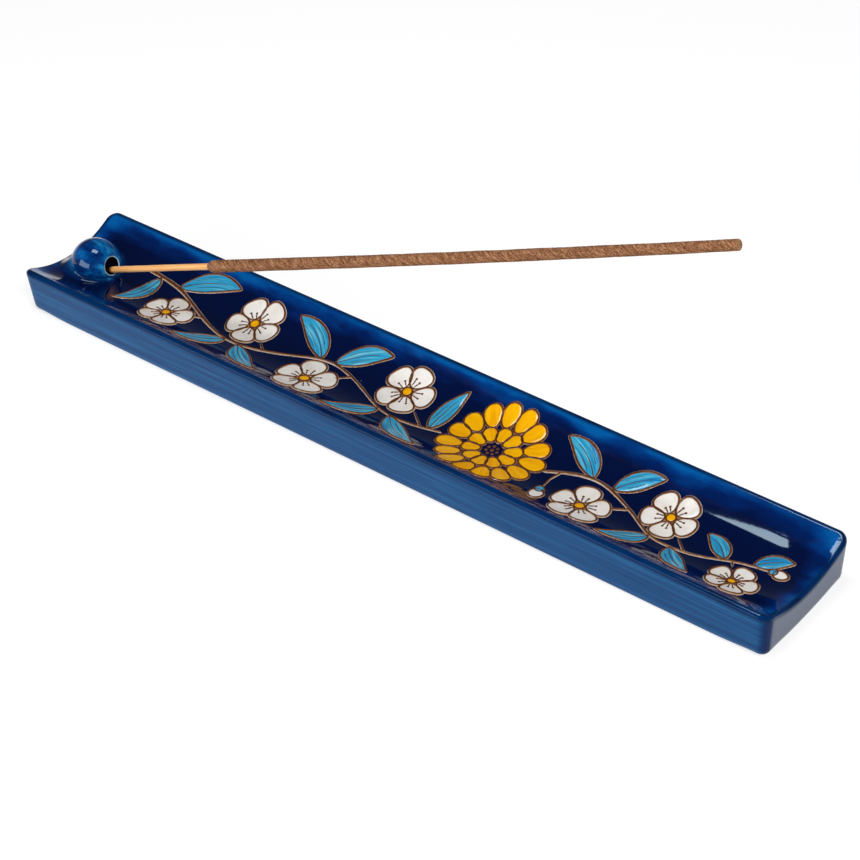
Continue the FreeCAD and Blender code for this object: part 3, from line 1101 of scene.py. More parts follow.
# %% Stems and leaves
STEM_HEIGHT = 0.42
STEM_TAPER = 0.6
STEM_POINTS = 120
STEM_SMOOTHING = 60
LEAF_STATIONS = 23
LEAF_BELLY = 0.82
LEAF_FULLNESS = 0.85
LEAF_LINE = (0.8, 0.3)
MIDRIB_LINE = (0.6, 0.24)
MIDRIB_SHARE = 0.82
VEIN_LINE = (0.42, 0.2)
VEIN_SIDE = 0.48
VEIN_FROM = 0.24
VEIN_TO = 0.66
VEIN_TAPER = 0.5


def stem(points, width):
    """A slip stem through a few plan points, as one smooth curve."""
    points = np.asarray(points, float)
    line = spaced(points, np.linspace(0, run_along(points)[-1], STEM_POINTS))
    for _ in range(STEM_SMOOTHING):
        line[1:-1] = (line[:-2] + 2 * line[1:-1] + line[2:]) / 4
    trail(slip, line, width, STEM_HEIGHT, taper=STEM_TAPER)
    return line


def leaf(start, end, width, bow):
    """A turquoise leaf with a raised midrib and two side lines."""
    spine = bent(start, end, bow, LEAF_STATIONS)
    share = np.linspace(0, 1, LEAF_STATIONS)
    half = width / 2 * np.sin(math.pi * share ** LEAF_BELLY) ** LEAF_FULLNESS
    half[[0, -1]] = TIP_HALF
    enamel_cell(leaf_pads, spine, half, LEAF_LINE)
    trail(slip, spine[:int(LEAF_STATIONS * MIDRIB_SHARE)], *MIDRIB_LINE, taper=VEIN_TAPER)
    side = side_of(spine, False) * half[:, None]
    for way in (-VEIN_SIDE, VEIN_SIDE):
        vein = (spine + side * way)[int(LEAF_STATIONS * VEIN_FROM):int(LEAF_STATIONS * VEIN_TO)]
        trail(slip, vein, *VEIN_LINE, taper=VEIN_TAPER)


print("a leaf has", LEAF_STATIONS, "stations")

# %% Blossoms
PETALS = 5
PETAL_LINE = (0.92, 0.36)
PETAL_START = 0.2
PETAL_WIDTH = 0.83
PETAL_TURN_PLAY = 0.06
PETAL_REACH = (0.95, 1.05)
EYE_RADIUS = 0.17
EYE_LINE = (0.62, 0.3)
EYE_LIFT = 0.12
OVERLAP_LIFT = 0.08
STAMEN_LINE = (0.42, 0.2)
STAMEN_LEANS = (-0.22, 0.2)
STAMEN_PLAY = 0.05
STAMEN_START = 0.24
STAMEN_REACH = (0.44, 0.54)
STAMEN_LIFT = 0.15
STAMEN_BEAD = 0.36
STAMEN_BEAD_LIFT = 0.16


def stamen(centre, radius, angle):
    """A thin line from a blossom's eye with a bead on its tip."""
    ray = outward(angle + hand.uniform(-STAMEN_PLAY, STAMEN_PLAY))
    tip = np.asarray(centre) + ray * radius * hand.uniform(*STAMEN_REACH)
    trail(slip, [np.asarray(centre) + ray * radius * STAMEN_START, tip], *STAMEN_LINE, lift=STAMEN_LIFT)
    bead(tip, STAMEN_BEAD, STAMEN_BEAD_LIFT)


def blossom(centre, radius, turn):
    """Five white petals round a small golden eye with stamens."""
    for number in range(PETALS):
        angle = turn + number * 2 * math.pi / PETALS + hand.uniform(-PETAL_TURN_PLAY, PETAL_TURN_PLAY)
        reach = radius * hand.uniform(*PETAL_REACH)
        spine, half = egg(centre, angle, radius * PETAL_START, reach, radius * PETAL_WIDTH)
        enamel_cell(white_pads, spine, half, PETAL_LINE)
        for lean in STAMEN_LEANS:
            stamen(centre, radius, angle + lean)
    eye = radius * EYE_RADIUS
    enamel_cell(gold_pads, *egg(centre, turn, -eye, eye, eye * 2, 0), EYE_LINE, EYE_LIFT, OVERLAP_LIFT)


print("a blossom has", PETALS, "petals and", PETALS * len(STAMEN_LEANS), "stamens")

# %% Flower head and buds
HEAD_LINE = (0.72, 0.32)
HEAD_RINGS = [(15, 0.53, 1.0, 0.98, 0.0), (10, 0.2, 0.55, 0.94, 0.3)]
HEAD_TURN_PLAY = 0.02
HEAD_REACH = (0.97, 1.03)
HEAD_WIDEST = 0.82
HEAD_FULLNESS = 0.22
HEAD_BEADS = 7
HEAD_BEAD_RING = 0.105
HEAD_BEAD = 0.5
HEAD_MIDDLE_BEAD = 0.6
BUD_LINE = (0.8, 0.32)
BUD_WIDTH = 0.72
BUD_FULLNESS = -0.15
CUP_LINE = (0.6, 0.3)
CUP_START = 0.32
CUP_END = 0.22
CUP_WIDTH = 0.5
CUP_LIFT = 0.1


def flower_head(centre, radius, turn):
    """A large golden flower head: two rings of petals round a beaded eye."""
    for count, start, end, fill, shift in HEAD_RINGS:
        for number in range(count):
            angle = turn + shift + number * 2 * math.pi / count
            angle += hand.uniform(-HEAD_TURN_PLAY, HEAD_TURN_PLAY)
            reach = radius * end * hand.uniform(*HEAD_REACH)
            width = 2 * radius * end * HEAD_WIDEST * math.sin(math.pi / count) * fill
            spine, half = egg(centre, angle, radius * start, reach, width, HEAD_FULLNESS)
            enamel_cell(gold_pads, spine, half, HEAD_LINE)
    for number in range(HEAD_BEADS):
        angle = number * 2 * math.pi / HEAD_BEADS
        bead(np.asarray(centre) + radius * HEAD_BEAD_RING * outward(angle), HEAD_BEAD)
    bead(centre, HEAD_MIDDLE_BEAD)


def bud(centre, turn, size):
    """A closed bud, white with a turquoise cup."""
    spine, half = egg(centre, turn, 0, size, size * BUD_WIDTH, BUD_FULLNESS)
    enamel_cell(white_pads, spine, half, BUD_LINE)
    spine, half = egg(centre, turn, -size * CUP_START, size * CUP_END, size * CUP_WIDTH, 0)
    enamel_cell(leaf_pads, spine, half, CUP_LINE, CUP_LIFT, OVERLAP_LIFT)


print("the flower head has", sum(ring[0] for ring in HEAD_RINGS), "petals")

# %% [markdown]
# The spray from end to end
#
# A potter draws the stems first and then hangs leaves and flowers on them. Each one has a place on the plan,
# in millimetres from the tray's middle, chosen so that white, gold and turquoise are spread over the
# length of the channel. Scattering them by chance would be quicker, but they would crowd. Every twig and leaf
# starts at the nearest point of a stem, so nothing floats.

# %% Places of the design
FLOWER_HEAD = ((29, 0), 14.8, 0.1)
STEMS = [([(-98, 7.2), (-84, 6.2), (-68, -1.5), (-56, -5.5), (-43, -1), (-29, 5.6), (-16, 2), (-3, -5.4),
           (8, -4), (14.4, -1.8)], 1.4),
         ([(44.3, 0.8), (52, 4.6), (60, 5.4), (71, 1), (81, -5.4), (92, -4.4), (102, 0.6), (110, 1.8)], 1.3)]
BLOSSOMS = [((-80, -4.6), 7.6, 0.3), ((-56, 5.2), 8.2, 1.0), ((-29, -5.4), 8.4, 0.6), ((-3, 5.6), 8.0, 0.1),
            ((60, -5.4), 7.8, 0.5), ((80.5, 4.0), 7.4, 1.1), ((105, -7.2), 6.4, 0.2)]
TWIG_STARTS = [(-70.5, -0.2), (-46, -2.6), (-19.5, 3.6), (8.5, -3.9), (70.5, 1.8), (90, -4.8), (100.5, 0)]
LEAVES = [((-92, 6.8), (-97, -8.5), 5.0, 0.10), ((-85, 6.6), (-67, 12.4), 5.6, 0.10),
          ((-58, -5.8), (-70.5, -12.6), 5.4, 0.10), ((-54, -5.6), (-40.5, -12.4), 5.6, -0.10),
          ((-31, 5.8), (-45.5, 12.6), 5.6, -0.10), ((-27, 5.8), (-13, 12.6), 5.6, 0.10),
          ((-5, -5.6), (-17.5, -12.4), 5.6, 0.10), ((-1, -5.6), (14, -12.6), 5.8, -0.10),
          ((10.2, -2.2), (12.6, 12.4), 5.0, 0.08), ((57, 5.8), (44, 12.6), 5.4, -0.10),
          ((63, 5.4), (73.6, 12.4), 5.2, 0.10), ((80, -5.2), (69.5, -12.4), 5.2, 0.10),
          ((86, -5.2), (96, -12.6), 5.2, -0.10), ((99, -0.8), (91, 4.4), 4.4, -0.10),
          ((105.5, 1.4), (114, 6.2), 4.2, 0.10)]
BUDS = [((111, 1.8), -0.1, 4.0), ((48.4, -6.2), -1.3, 5.0)]
BUD_TWIG = [(48.6, 3.4), (47.6, -1), (48.2, -5)]
print("blossoms", len(BLOSSOMS), "leaves", len(LEAVES), "buds", len(BUDS))

# %% Draw the design
TWIG_WIDTH = 0.9
TWIG_REACH = 0.94
LEAF_GAP = 0.5

on_stems = np.concatenate([stem(points, width) for points, width in STEMS])


def from_stem(spot, target, gap):
    """The stem point nearest to a spot, moved this far towards a target."""
    nearest = on_stems[np.argmin(np.linalg.norm(on_stems - spot, axis=1))]
    ahead = np.subtract(target, nearest)
    return nearest + ahead / np.linalg.norm(ahead) * gap


stem([from_stem(BUD_TWIG[0], BUD_TWIG[1], 0)] + BUD_TWIG[1:], TWIG_WIDTH)
for start, (centre, radius, _) in zip(TWIG_STARTS, BLOSSOMS):
    start = from_stem(start, centre, 0)
    reach = np.subtract(start, centre)
    stem([start, np.asarray(centre) + reach / np.linalg.norm(reach) * radius * TWIG_REACH], TWIG_WIDTH)
for start, end, width, bow in LEAVES:
    leaf(from_stem(start, end, LEAF_GAP), end, width, bow)
for centre, radius, turn in BLOSSOMS:
    blossom(centre, radius, turn)
for centre, turn, size in BUDS:
    bud(centre, turn, size)
flower_head(*FLOWER_HEAD)

slip_lines = slip.piece("slip_lines")
white_enamel = white_pads.piece("white_enamel")
golden_enamel = gold_pads.piece("golden_enamel")
turquoise_enamel = leaf_pads.piece("turquoise_enamel")

# %% [markdown]
# Small tools for finishes
#
# A finish is a tree of shader nodes. It could be put together by hand in the shader editor. These helpers do
# the same in text: they add a node, set or link its inputs by name, and wrap the sums and colour mixes that
# come up again and again, so that each finish below reads as a short recipe.

# %% Add nodes and join them
def connect(tree, value, socket):
    """Link another node's socket to this one, or set a plain value on it."""
    if isinstance(value, bpy.types.NodeSocket):
        tree.links.new(value, socket)
    else:
        socket.default_value = value


def add(tree, kind, settings=None, **inputs):
    """Add a node; an input may be a plain value or another node's socket."""
    made = tree.nodes.new(kind)
    for key, value in (settings or {}).items():
        setattr(made, key, value)
    for key, value in inputs.items():
        connect(tree, value, made.inputs[key.replace("_", " ")])
    return made


def new_finish(name):
    """A material with one Principled shader."""
    material = bpy.data.materials.new(name)
    material.use_nodes = True
    tree = material.node_tree
    return material, tree, tree.nodes["Principled BSDF"]


def surface(tree, shader, colour, roughness):
    """Feed a colour and a roughness into the shader."""
    tree.links.new(colour, shader.inputs["Base Color"])
    tree.links.new(roughness, shader.inputs["Roughness"])


def bumped(tree, shader, height, distance):
    """Feed a height into the shader's normal; distance is in millimetres."""
    made = add(tree, "ShaderNodeBump", Height=height, Distance=distance * MM, Strength=1.0)
    tree.links.new(made.outputs[0], shader.inputs["Normal"])


print("nodes can be added and joined")

# %% Sums, mixes and ramps
def sum_of(tree, operation, first, second):
    """One step of arithmetic."""
    made = add(tree, "ShaderNodeMath", {"operation": operation})
    connect(tree, first, made.inputs[0])
    connect(tree, second, made.inputs[1])
    return made.outputs[0]


def weighed(tree, first, share, second):
    """This share of the first value and the rest of the second."""
    return sum_of(tree, "ADD", sum_of(tree, "MULTIPLY", first, share),
                  sum_of(tree, "MULTIPLY", second, 1 - share))


def colour_mix(tree, share, first, second):
    """From the first colour to the second by a share; a colour may be a socket or three numbers."""
    made = add(tree, "ShaderNodeMix", {"data_type": "RGBA"})
    colours = [(*colour, 1) if isinstance(colour, tuple) else colour for colour in (first, second)]
    connect(tree, share, made.inputs[0])
    connect(tree, colours[0], made.inputs[6])
    connect(tree, colours[1], made.inputs[7])
    return made.outputs[2]


def ramp(tree, share, stops):
    """A colour ramp from (position, colour) stops."""
    made = tree.nodes.new("ShaderNodeValToRGB")
    points = made.color_ramp.elements
    while len(points) < len(stops):
        points.new(0.5)
    for point, (position, colour) in zip(points, stops):
        point.position = position
        point.color = (*colour, 1)
    connect(tree, share, made.inputs[0])
    return made.outputs[0]


def spread(tree, value, within, onto=(0.0, 1.0)):
    """Stretch a value from one range onto another, held at both ends."""
    made = tree.nodes.new("ShaderNodeMapRange")
    for socket, setting in zip(made.inputs, (value, *within, *onto)):
        connect(tree, setting, socket)
    return made.outputs[0]


print("values can be mixed")

# %% Places, noise and groups
def scaled(tree, vector, scale):
    """The vector times a scale for each axis."""
    made = add(tree, "ShaderNodeVectorMath", {"operation": "MULTIPLY"})
    connect(tree, vector, made.inputs[0])
    connect(tree, scale, made.inputs[1])
    return made.outputs[0]


def noise_of(tree, vector, scale, detail=2.0, roughness=0.5):
    """Cloudy noise; the scale is in clouds for each millimetre."""
    made = add(tree, "ShaderNodeTexNoise", Vector=vector, Scale=scale, Detail=detail, Roughness=roughness)
    return made.outputs[0]


def millimetres(tree):
    """Places on the piece, in millimetres."""
    spot = add(tree, "ShaderNodeTexCoord")
    return scaled(tree, spot.outputs["Object"], (1 / MM, 1 / MM, 1 / MM))


def painted(tree, name, vector=False):
    """A value that was stored at the piece's points."""
    made = add(tree, "ShaderNodeAttribute", {"attribute_name": name})
    return made.outputs["Vector" if vector else "Fac"]


def new_group(name, inputs, outputs):
    """An empty shader group with these value inputs and outputs, and a Vector input."""
    group = bpy.data.node_groups.new(name, "ShaderNodeTree")
    group.interface.new_socket("Vector", in_out="INPUT", socket_type="NodeSocketVector")
    for key in inputs:
        group.interface.new_socket(key, in_out="INPUT", socket_type="NodeSocketFloat")
    for key in outputs:
        group.interface.new_socket(key, in_out="OUTPUT", socket_type="NodeSocketFloat")
    return group, group.nodes.new("NodeGroupInput").outputs, group.nodes.new("NodeGroupOutput").inputs


def use_group(tree, group, **inputs):
    """Place a group in a finish and give back its outputs."""
    return add(tree, "ShaderNodeGroup", {"node_tree": group}, **inputs).outputs


print("groups can be built and placed")

# %% [markdown]
# The flow of the brush
#
# Every glaze on the object was brushed or dipped, then melted. Three effects are shared by several finishes,
# so each is a group that is built once. The first is what the brush leaves: streaks along the walls and
# cloudy patches elsewhere. Stretched noise gives both, and no painted image is needed.

# %% Brush flow
STREAK_ALONG = 0.02
STREAK_UP = 0.9
BROAD_STREAKS = 0.55
FINE_STREAKS = 2.6
BROAD_SHARE = 0.55
PATCH_STRETCH = (0.35, 1.0, 1.0)

brush_flow, given, result = new_group("brush_flow", ["Patch Size"], ["Streak", "Mottle"])
parts = add(brush_flow, "ShaderNodeSeparateXYZ", Vector=given["Vector"]).outputs
level = sum_of(brush_flow, "MULTIPLY", sum_of(brush_flow, "ADD", parts[0], parts[1]), STREAK_ALONG)
upright = sum_of(brush_flow, "MULTIPLY", parts[2], STREAK_UP)
wall_spot = add(brush_flow, "ShaderNodeCombineXYZ", X=level, Y=upright).outputs[0]
broad = noise_of(brush_flow, wall_spot, BROAD_STREAKS)
fine = noise_of(brush_flow, wall_spot, FINE_STREAKS, detail=3.0, roughness=0.6)
brush_flow.links.new(weighed(brush_flow, broad, BROAD_SHARE, fine), result["Streak"])
patch_spot = scaled(brush_flow, given["Vector"], PATCH_STRETCH)
patch = noise_of(brush_flow, patch_spot, given["Patch Size"], detail=3.0, roughness=0.55)
brush_flow.links.new(patch, result["Mottle"])
print("group", brush_flow.name)

# %% [markdown]
# Pinholes and a melted ripple
#
# Gas that leaves the clay late in the firing bursts through the glaze and leaves pits the size of a pin.
# Scattered cells give their places, and only a share of the cells is chosen, so they keep no even distance.
# The melted surface also stays a little wavy. Both are far too small to model, so they go into the finish.

# %% Pinholes
PIT_EDGE = (0.03, 0.075)

pinholes, given, result = new_group("pinholes", ["Cells", "Share"], ["Speck"])
cells = add(pinholes, "ShaderNodeTexVoronoi", Vector=given["Vector"], Scale=given["Cells"]).outputs
pit = spread(pinholes, cells["Distance"], PIT_EDGE, (1.0, 0.0))
lot = add(pinholes, "ShaderNodeSeparateColor", Color=cells["Color"]).outputs[0]
chosen = sum_of(pinholes, "LESS_THAN", lot, given["Share"])
pinholes.links.new(sum_of(pinholes, "MULTIPLY", pit, chosen), result["Speck"])


def speckled(tree, colour, spot, cells, share, strength, tint):
    """The colour with pinholes of another tint, and the pinholes' mask."""
    specks = use_group(tree, pinholes, Vector=spot, Cells=cells, Share=share)["Speck"]
    return colour_mix(tree, sum_of(tree, "MULTIPLY", specks, strength), colour, tint), specks


print("group", pinholes.name)

# %% Melted ripple
QUICK_RATE = 3.7
QUICK_SHARE = 0.2

ripple, given, result = new_group("melted_ripple", ["Size"], ["Height"])
slow = noise_of(ripple, given["Vector"], given["Size"], detail=1.0)
quick_size = sum_of(ripple, "MULTIPLY", given["Size"], QUICK_RATE)
quick = noise_of(ripple, given["Vector"], quick_size, detail=1.0)
quick_part = sum_of(ripple, "MULTIPLY", quick, QUICK_SHARE)
ripple.links.new(sum_of(ripple, "ADD", slow, quick_part), result["Height"])


def melted(tree, spot, size):
    """The height of a melted surface."""
    return use_group(tree, ripple, Vector=spot, Size=size)["Height"]


print("group", ripple.name)

# %% [markdown]
# The cobalt glaze
#
# One glaze covers the tray, and its colour follows its thickness: bright blue on the upper walls, near black
# on the channel floor where it pooled. The rim's crest and the two end walls get a darker blue that is
# painted shade. The outer walls show long brush marks and shine less. The colour comes from the painted
# depth, pushed about by the brush flow, so no edge of a band is straight. Reflections are tinted a little
# blue, because they also pass through the coloured glass.

# %% Cobalt glaze
THIN_BLUE = (0.001, 0.090, 0.32)
MIDDLE_BLUE = (0.0006, 0.040, 0.20)
DEEP_BLUE = (0.0006, 0.013, 0.095)
POOL_BLUE = (0.0008, 0.0050, 0.040)
SPECK_BLUE = (0.06, 0.17, 0.36)
PAINTED_CREST_SHADE = (0.0008, 0.008, 0.045)
PAINTED_END_SHADE = (0.001, 0.017, 0.085)
WALL_DARK = (0.001, 0.0275, 0.110)
WALL_MIDDLE = (0.002, 0.061, 0.190)
WALL_PALE = (0.014, 0.133, 0.315)
GLAZE_TINT = (0.62, 0.84, 1.0, 1.0)
DEPTH_STOPS = [(0.05, THIN_BLUE), (0.20, MIDDLE_BLUE), (0.37, DEEP_BLUE), (0.58, POOL_BLUE)]
WALL_STOPS = [(0.30, WALL_DARK), (0.5, WALL_MIDDLE), (0.73, WALL_PALE)]
MOTTLE_MIDDLE = 0.47
CHANNEL_GLOSS = 0.5
WALL_GLOSS = 0.11
CHANNEL_TO_WALL = (0.045, 0.12)
BRUSH_MARKS = 1.4


def cobalt_finish(name, gloss):
    material, tree, shader = new_finish(name)
    spot = millimetres(tree)
    flow = use_group(tree, brush_flow, Vector=spot, Patch_Size=0.16)
    outside = painted(tree, "outside")
    uneven = sum_of(tree, "SUBTRACT", flow["Mottle"], MOTTLE_MIDDLE)
    depth = sum_of(tree, "ADD", painted(tree, "pool"), uneven)
    # The two end walls get a darker blue: painted shade.
    wall = colour_mix(tree, painted(tree, "end"), ramp(tree, flow["Streak"], WALL_STOPS), PAINTED_END_SHADE)
    colour = colour_mix(tree, outside, ramp(tree, depth, DEPTH_STOPS), wall)
    # The crest's dark blue, varied in patches, is painted shade along the rim.
    patchy = spread(tree, flow["Mottle"], (0.3, 0.6), (1.0, 0.75))
    colour = colour_mix(tree, sum_of(tree, "MULTIPLY", painted(tree, "crest"), patchy), colour, PAINTED_CREST_SHADE)
    colour, specks = speckled(tree, colour, spot, cells=0.3, share=0.10, strength=0.7, tint=SPECK_BLUE)
    surface(tree, shader, colour, spread(tree, outside, (0, 1), CHANNEL_TO_WALL))
    marks = sum_of(tree, "MULTIPLY", sum_of(tree, "MULTIPLY", flow["Streak"], outside), BRUSH_MARKS)
    raised = sum_of(tree, "ADD", melted(tree, spot, 0.16), marks)
    bumped(tree, shader, sum_of(tree, "SUBTRACT", raised, specks), 0.008)
    shader.inputs["Specular IOR Level"].default_value = gloss
    shader.inputs["Specular Tint"].default_value = GLAZE_TINT
    return material


print("shades of cobalt", len(DEPTH_STOPS) + len(WALL_STOPS))

# %% Bare clay, and the tray's three finishes
CLAY_STOPS = [(0.3, (0.50, 0.44, 0.36)), (0.7, (0.66, 0.60, 0.52))]
CLAY_IRON = (0.20, 0.13, 0.08)
CLAY_ROUGH = (0.75, 0.95)


def clay_finish():
    material, tree, shader = new_finish("bare_clay")
    spot = millimetres(tree)
    body = noise_of(tree, spot, 0.5, detail=4.0, roughness=0.6)
    colour = ramp(tree, body, CLAY_STOPS)
    colour, _ = speckled(tree, colour, spot, cells=0.9, share=0.2, strength=1.0, tint=CLAY_IRON)
    surface(tree, shader, colour, spread(tree, body, (0, 1), CLAY_ROUGH))
    bumped(tree, shader, noise_of(tree, spot, 2.5, detail=4.0), 0.08)
    return material


tray.data.materials.clear()
tray.data.materials.append(cobalt_finish("cobalt_glaze", CHANNEL_GLOSS))
tray.data.materials.append(clay_finish())
tray.data.materials.append(cobalt_finish("brushed_cobalt", WALL_GLOSS))
for face, number in zip(tray.data.polygons, face_finish):
    face.material_index = number
print("tray finishes", [m.name for m in tray.data.materials])

# %% [markdown]
# The ball's glaze and the pooled ring
#
# On the ball the same glaze is thinner and shows the brush in cloudy patches. It has run off the lip of the
# mouth, where a pale line is left. Round the foot it collects and turns dark, and the ring's thin upper part
# keeps the ball's colours. One finish for both would need a painted border; two are simpler.

# %% Ball and ring glazes
BALL_BLUES = [(0.36, (0.0008, 0.012, 0.085)), (0.48, (0.0008, 0.038, 0.175)), (0.57, (0.002, 0.100, 0.32)),
              (0.67, (0.014, 0.240, 0.47))]
RING_BLUES = [(0.4, POOL_BLUE), (0.75, DEEP_BLUE)]
LIP_PALE = (0.66, 0.86, 0.92)
PAINTED_HOLE_SHADE = (0.001, 0.003, 0.012)
MOTTLE_RANGE = (0.3, 0.7)
BALL_ROUGH = (0.035, 0.08)
RING_ROUGH = (0.03, 0.06)


def ball_finish():
    material, tree, shader = new_finish("ball_glaze")
    spot = millimetres(tree)
    mottle = use_group(tree, brush_flow, Vector=spot, Patch_Size=0.26)["Mottle"]
    # The hole's near-black colour is painted shade inside the mouth.
    colour = colour_mix(tree, painted(tree, "hole"), ramp(tree, mottle, BALL_BLUES), PAINTED_HOLE_SHADE)
    patchy = spread(tree, mottle, (0.2, 0.6), (0.5, 1.0))
    colour = colour_mix(tree, sum_of(tree, "MULTIPLY", painted(tree, "lip"), patchy), colour, LIP_PALE)
    colour, specks = speckled(tree, colour, spot, cells=0.5, share=0.12, strength=0.6, tint=SPECK_BLUE)
    surface(tree, shader, colour, spread(tree, mottle, MOTTLE_RANGE, BALL_ROUGH))
    bumped(tree, shader, sum_of(tree, "SUBTRACT", melted(tree, spot, 0.22), specks), 0.04)
    shader.inputs["Specular Tint"].default_value = GLAZE_TINT
    return material


def pooled_finish():
    material, tree, shader = new_finish("pooled_glaze")
    spot = millimetres(tree)
    mottle = use_group(tree, brush_flow, Vector=spot, Patch_Size=0.3)["Mottle"]
    pooled = ramp(tree, mottle, RING_BLUES)
    colour = colour_mix(tree, painted(tree, "thin"), pooled, ramp(tree, mottle, BALL_BLUES))
    surface(tree, shader, colour, spread(tree, mottle, MOTTLE_RANGE, RING_ROUGH))
    bumped(tree, shader, melted(tree, spot, 0.3), 0.03)
    shader.inputs["Specular Tint"].default_value = GLAZE_TINT
    return material


ball.data.materials.append(ball_finish())
glaze_ring.data.materials.append(pooled_finish())
print("finished", ball.data.materials[0].name, glaze_ring.data.materials[0].name)

# %% [markdown]
# Slip lines and enamels
#
# A slip line is dark brown on its crest, tan on its flanks and pale along its foot, where the blue glaze drew
# back from it. The enamels are opaque and glossy. White is warm and a little uneven, gold shows soft brush
# passes, and turquoise runs in streaks along each leaf. Each shape carries its own brush direction, so one
# recipe with other colours serves all three.

# %% Slip finish
SLIP_STOPS = [(0.0, (0.060, 0.018, 0.006)), (0.40, (0.150, 0.048, 0.014)), (0.62, (0.42, 0.20, 0.075)),
              (0.80, (0.66, 0.56, 0.44)), (0.98, (0.30, 0.34, 0.40))]
SLIP_ROUGH = (0.10, 0.28)
GRIT_MIDDLE = 0.5
GRIT_PUSH = 0.5


def slip_finish():
    material, tree, shader = new_finish("slip_line")
    spot = millimetres(tree)
    grit = noise_of(tree, spot, 1.6, detail=3.0, roughness=0.6)
    push = sum_of(tree, "MULTIPLY", sum_of(tree, "SUBTRACT", grit, GRIT_MIDDLE), GRIT_PUSH)
    across = sum_of(tree, "ADD", painted(tree, "across"), push)
    surface(tree, shader, ramp(tree, across, SLIP_STOPS), spread(tree, grit, (0.2, 0.8), SLIP_ROUGH))
    bumped(tree, shader, melted(tree, spot, 0.9), 0.03)
    return material


slip_lines.data.materials.append(slip_finish())
print("finished", slip_lines.data.materials[0].name)

# %% Enamel finishes
WHITE_STOPS = [(0.30, (0.80, 0.75, 0.69)), (0.52, (0.88, 0.84, 0.79)), (0.74, (0.91, 0.885, 0.86))]
GOLD_STOPS = [(0.30, (0.86, 0.36, 0.001)), (0.52, (0.94, 0.45, 0.001)), (0.74, (0.98, 0.54, 0.006))]
LEAF_STOPS = [(0.28, (0.004, 0.135, 0.40)), (0.46, (0.020, 0.30, 0.54)), (0.60, (0.07, 0.42, 0.60)),
              (0.76, (0.36, 0.66, 0.74))]
WHITE_EDGE = (0.55, 0.50, 0.46)
GOLD_EDGE = (0.62, 0.22, 0.001)
LEAF_EDGE = (0.10, 0.36, 0.52)
ENAMEL_SPECK = (0.16, 0.10, 0.07)
ENAMEL_ROUGH = (0.07, 0.15)
EDGE_START = 0.35


def enamel_finish(piece, stops, edge_colour, brush_scale, edge_share):
    """An enamel whose strokes follow each shape and which darkens towards the slip line round it."""
    material, tree, shader = new_finish(piece.name)
    spot = millimetres(tree)
    brushed = scaled(tree, painted(tree, "brush", True), brush_scale)
    strokes = noise_of(tree, brushed, 1.0, detail=3.0, roughness=0.55)
    edge = spread(tree, painted(tree, "across"), (EDGE_START, 1.0), (0.0, edge_share))
    colour = colour_mix(tree, edge, ramp(tree, strokes, stops), edge_colour)
    colour, specks = speckled(tree, colour, spot, cells=0.7, share=0.06, strength=0.5, tint=ENAMEL_SPECK)
    surface(tree, shader, colour, spread(tree, strokes, MOTTLE_RANGE, ENAMEL_ROUGH))
    bumped(tree, shader, sum_of(tree, "SUBTRACT", melted(tree, spot, 0.5), specks), 0.03)
    piece.data.materials.append(material)
    print("finished", material.name)


enamel_finish(white_enamel, WHITE_STOPS, WHITE_EDGE, (0.25, 0.3, 1.0), 0.5)
enamel_finish(golden_enamel, GOLD_STOPS, GOLD_EDGE, (0.12, 0.9, 1.0), 0.45)
enamel_finish(turquoise_enamel, LEAF_STOPS, LEAF_EDGE, (0.07, 1.5, 1.0), 0.4)

# %% [markdown]
# Bamboo and incense
#
# Split bamboo is straw-coloured, with darker fibres that run its whole length, and its foot is darkened by
# painted shade where it stands in the ball's mouth. The incense is a dry paste of wood powder: brown, without
# gloss, flecked with pale and dark grains, and paler at its end. The fibres and the rolled streaks read the
# stick's own coordinates instead of places in the room, so they follow the slope of the stick.

# %% Bamboo finish
BAMBOO_STOPS = [(0.34, (0.49, 0.14, 0.026)), (0.43, (0.87, 0.355, 0.095)), (0.52, (0.93, 0.49, 0.17)),
                (0.62, (0.94, 0.62, 0.32))]
BAMBOO_ROUGH = (0.42, 0.66)
FIBRE_STRETCH = (2.6, 2.6, 0.035)
FINE_STRETCH = (9.0, 9.0, 0.12)
FIBRE_SHARE = 0.62
PAINTED_FOOT_SHADE = (0.022, 0.008, 0.003)
FOOT_SHADE_FADE = (5.2, 6.7)


def bamboo_finish():
    material, tree, shader = new_finish("bamboo")
    along = painted(tree, "grain", True)
    fibre = noise_of(tree, scaled(tree, along, FIBRE_STRETCH), 1.0, detail=4.0, roughness=0.6)
    fine = noise_of(tree, scaled(tree, along, FINE_STRETCH), 1.0, detail=3.0, roughness=0.6)
    mixed = weighed(tree, fibre, FIBRE_SHARE, fine)
    # The foot's dark colour is painted shade, where the ball's mouth shades the stick.
    station = add(tree, "ShaderNodeSeparateXYZ", Vector=along).outputs["Z"]
    beyond_foot_shade = spread(tree, station, FOOT_SHADE_FADE)
    colour = colour_mix(tree, beyond_foot_shade, PAINTED_FOOT_SHADE, ramp(tree, mixed, BAMBOO_STOPS))
    surface(tree, shader, colour, spread(tree, fine, (0.2, 0.8), BAMBOO_ROUGH))
    bumped(tree, shader, mixed, 0.10)
    return material


splint.data.materials.append(bamboo_finish())
print("finished", splint.data.materials[0].name)

# %% Incense finish
INCENSE_STOPS = [(0.38, (0.065, 0.022, 0.008)), (0.46, (0.20, 0.080, 0.034)), (0.54, (0.35, 0.155, 0.073)),
                 (0.62, (0.66, 0.37, 0.19))]
INCENSE_FLECK = (0.60, 0.40, 0.25)
INCENSE_ROUGH = (0.85, 1.0)
INCENSE_GLOSS = 0.25
TIP_PALE = (0.46, 0.27, 0.13)
ROLLED_STRETCH = (3.0, 3.0, 0.45)
GRAIN_SHARE = 0.62


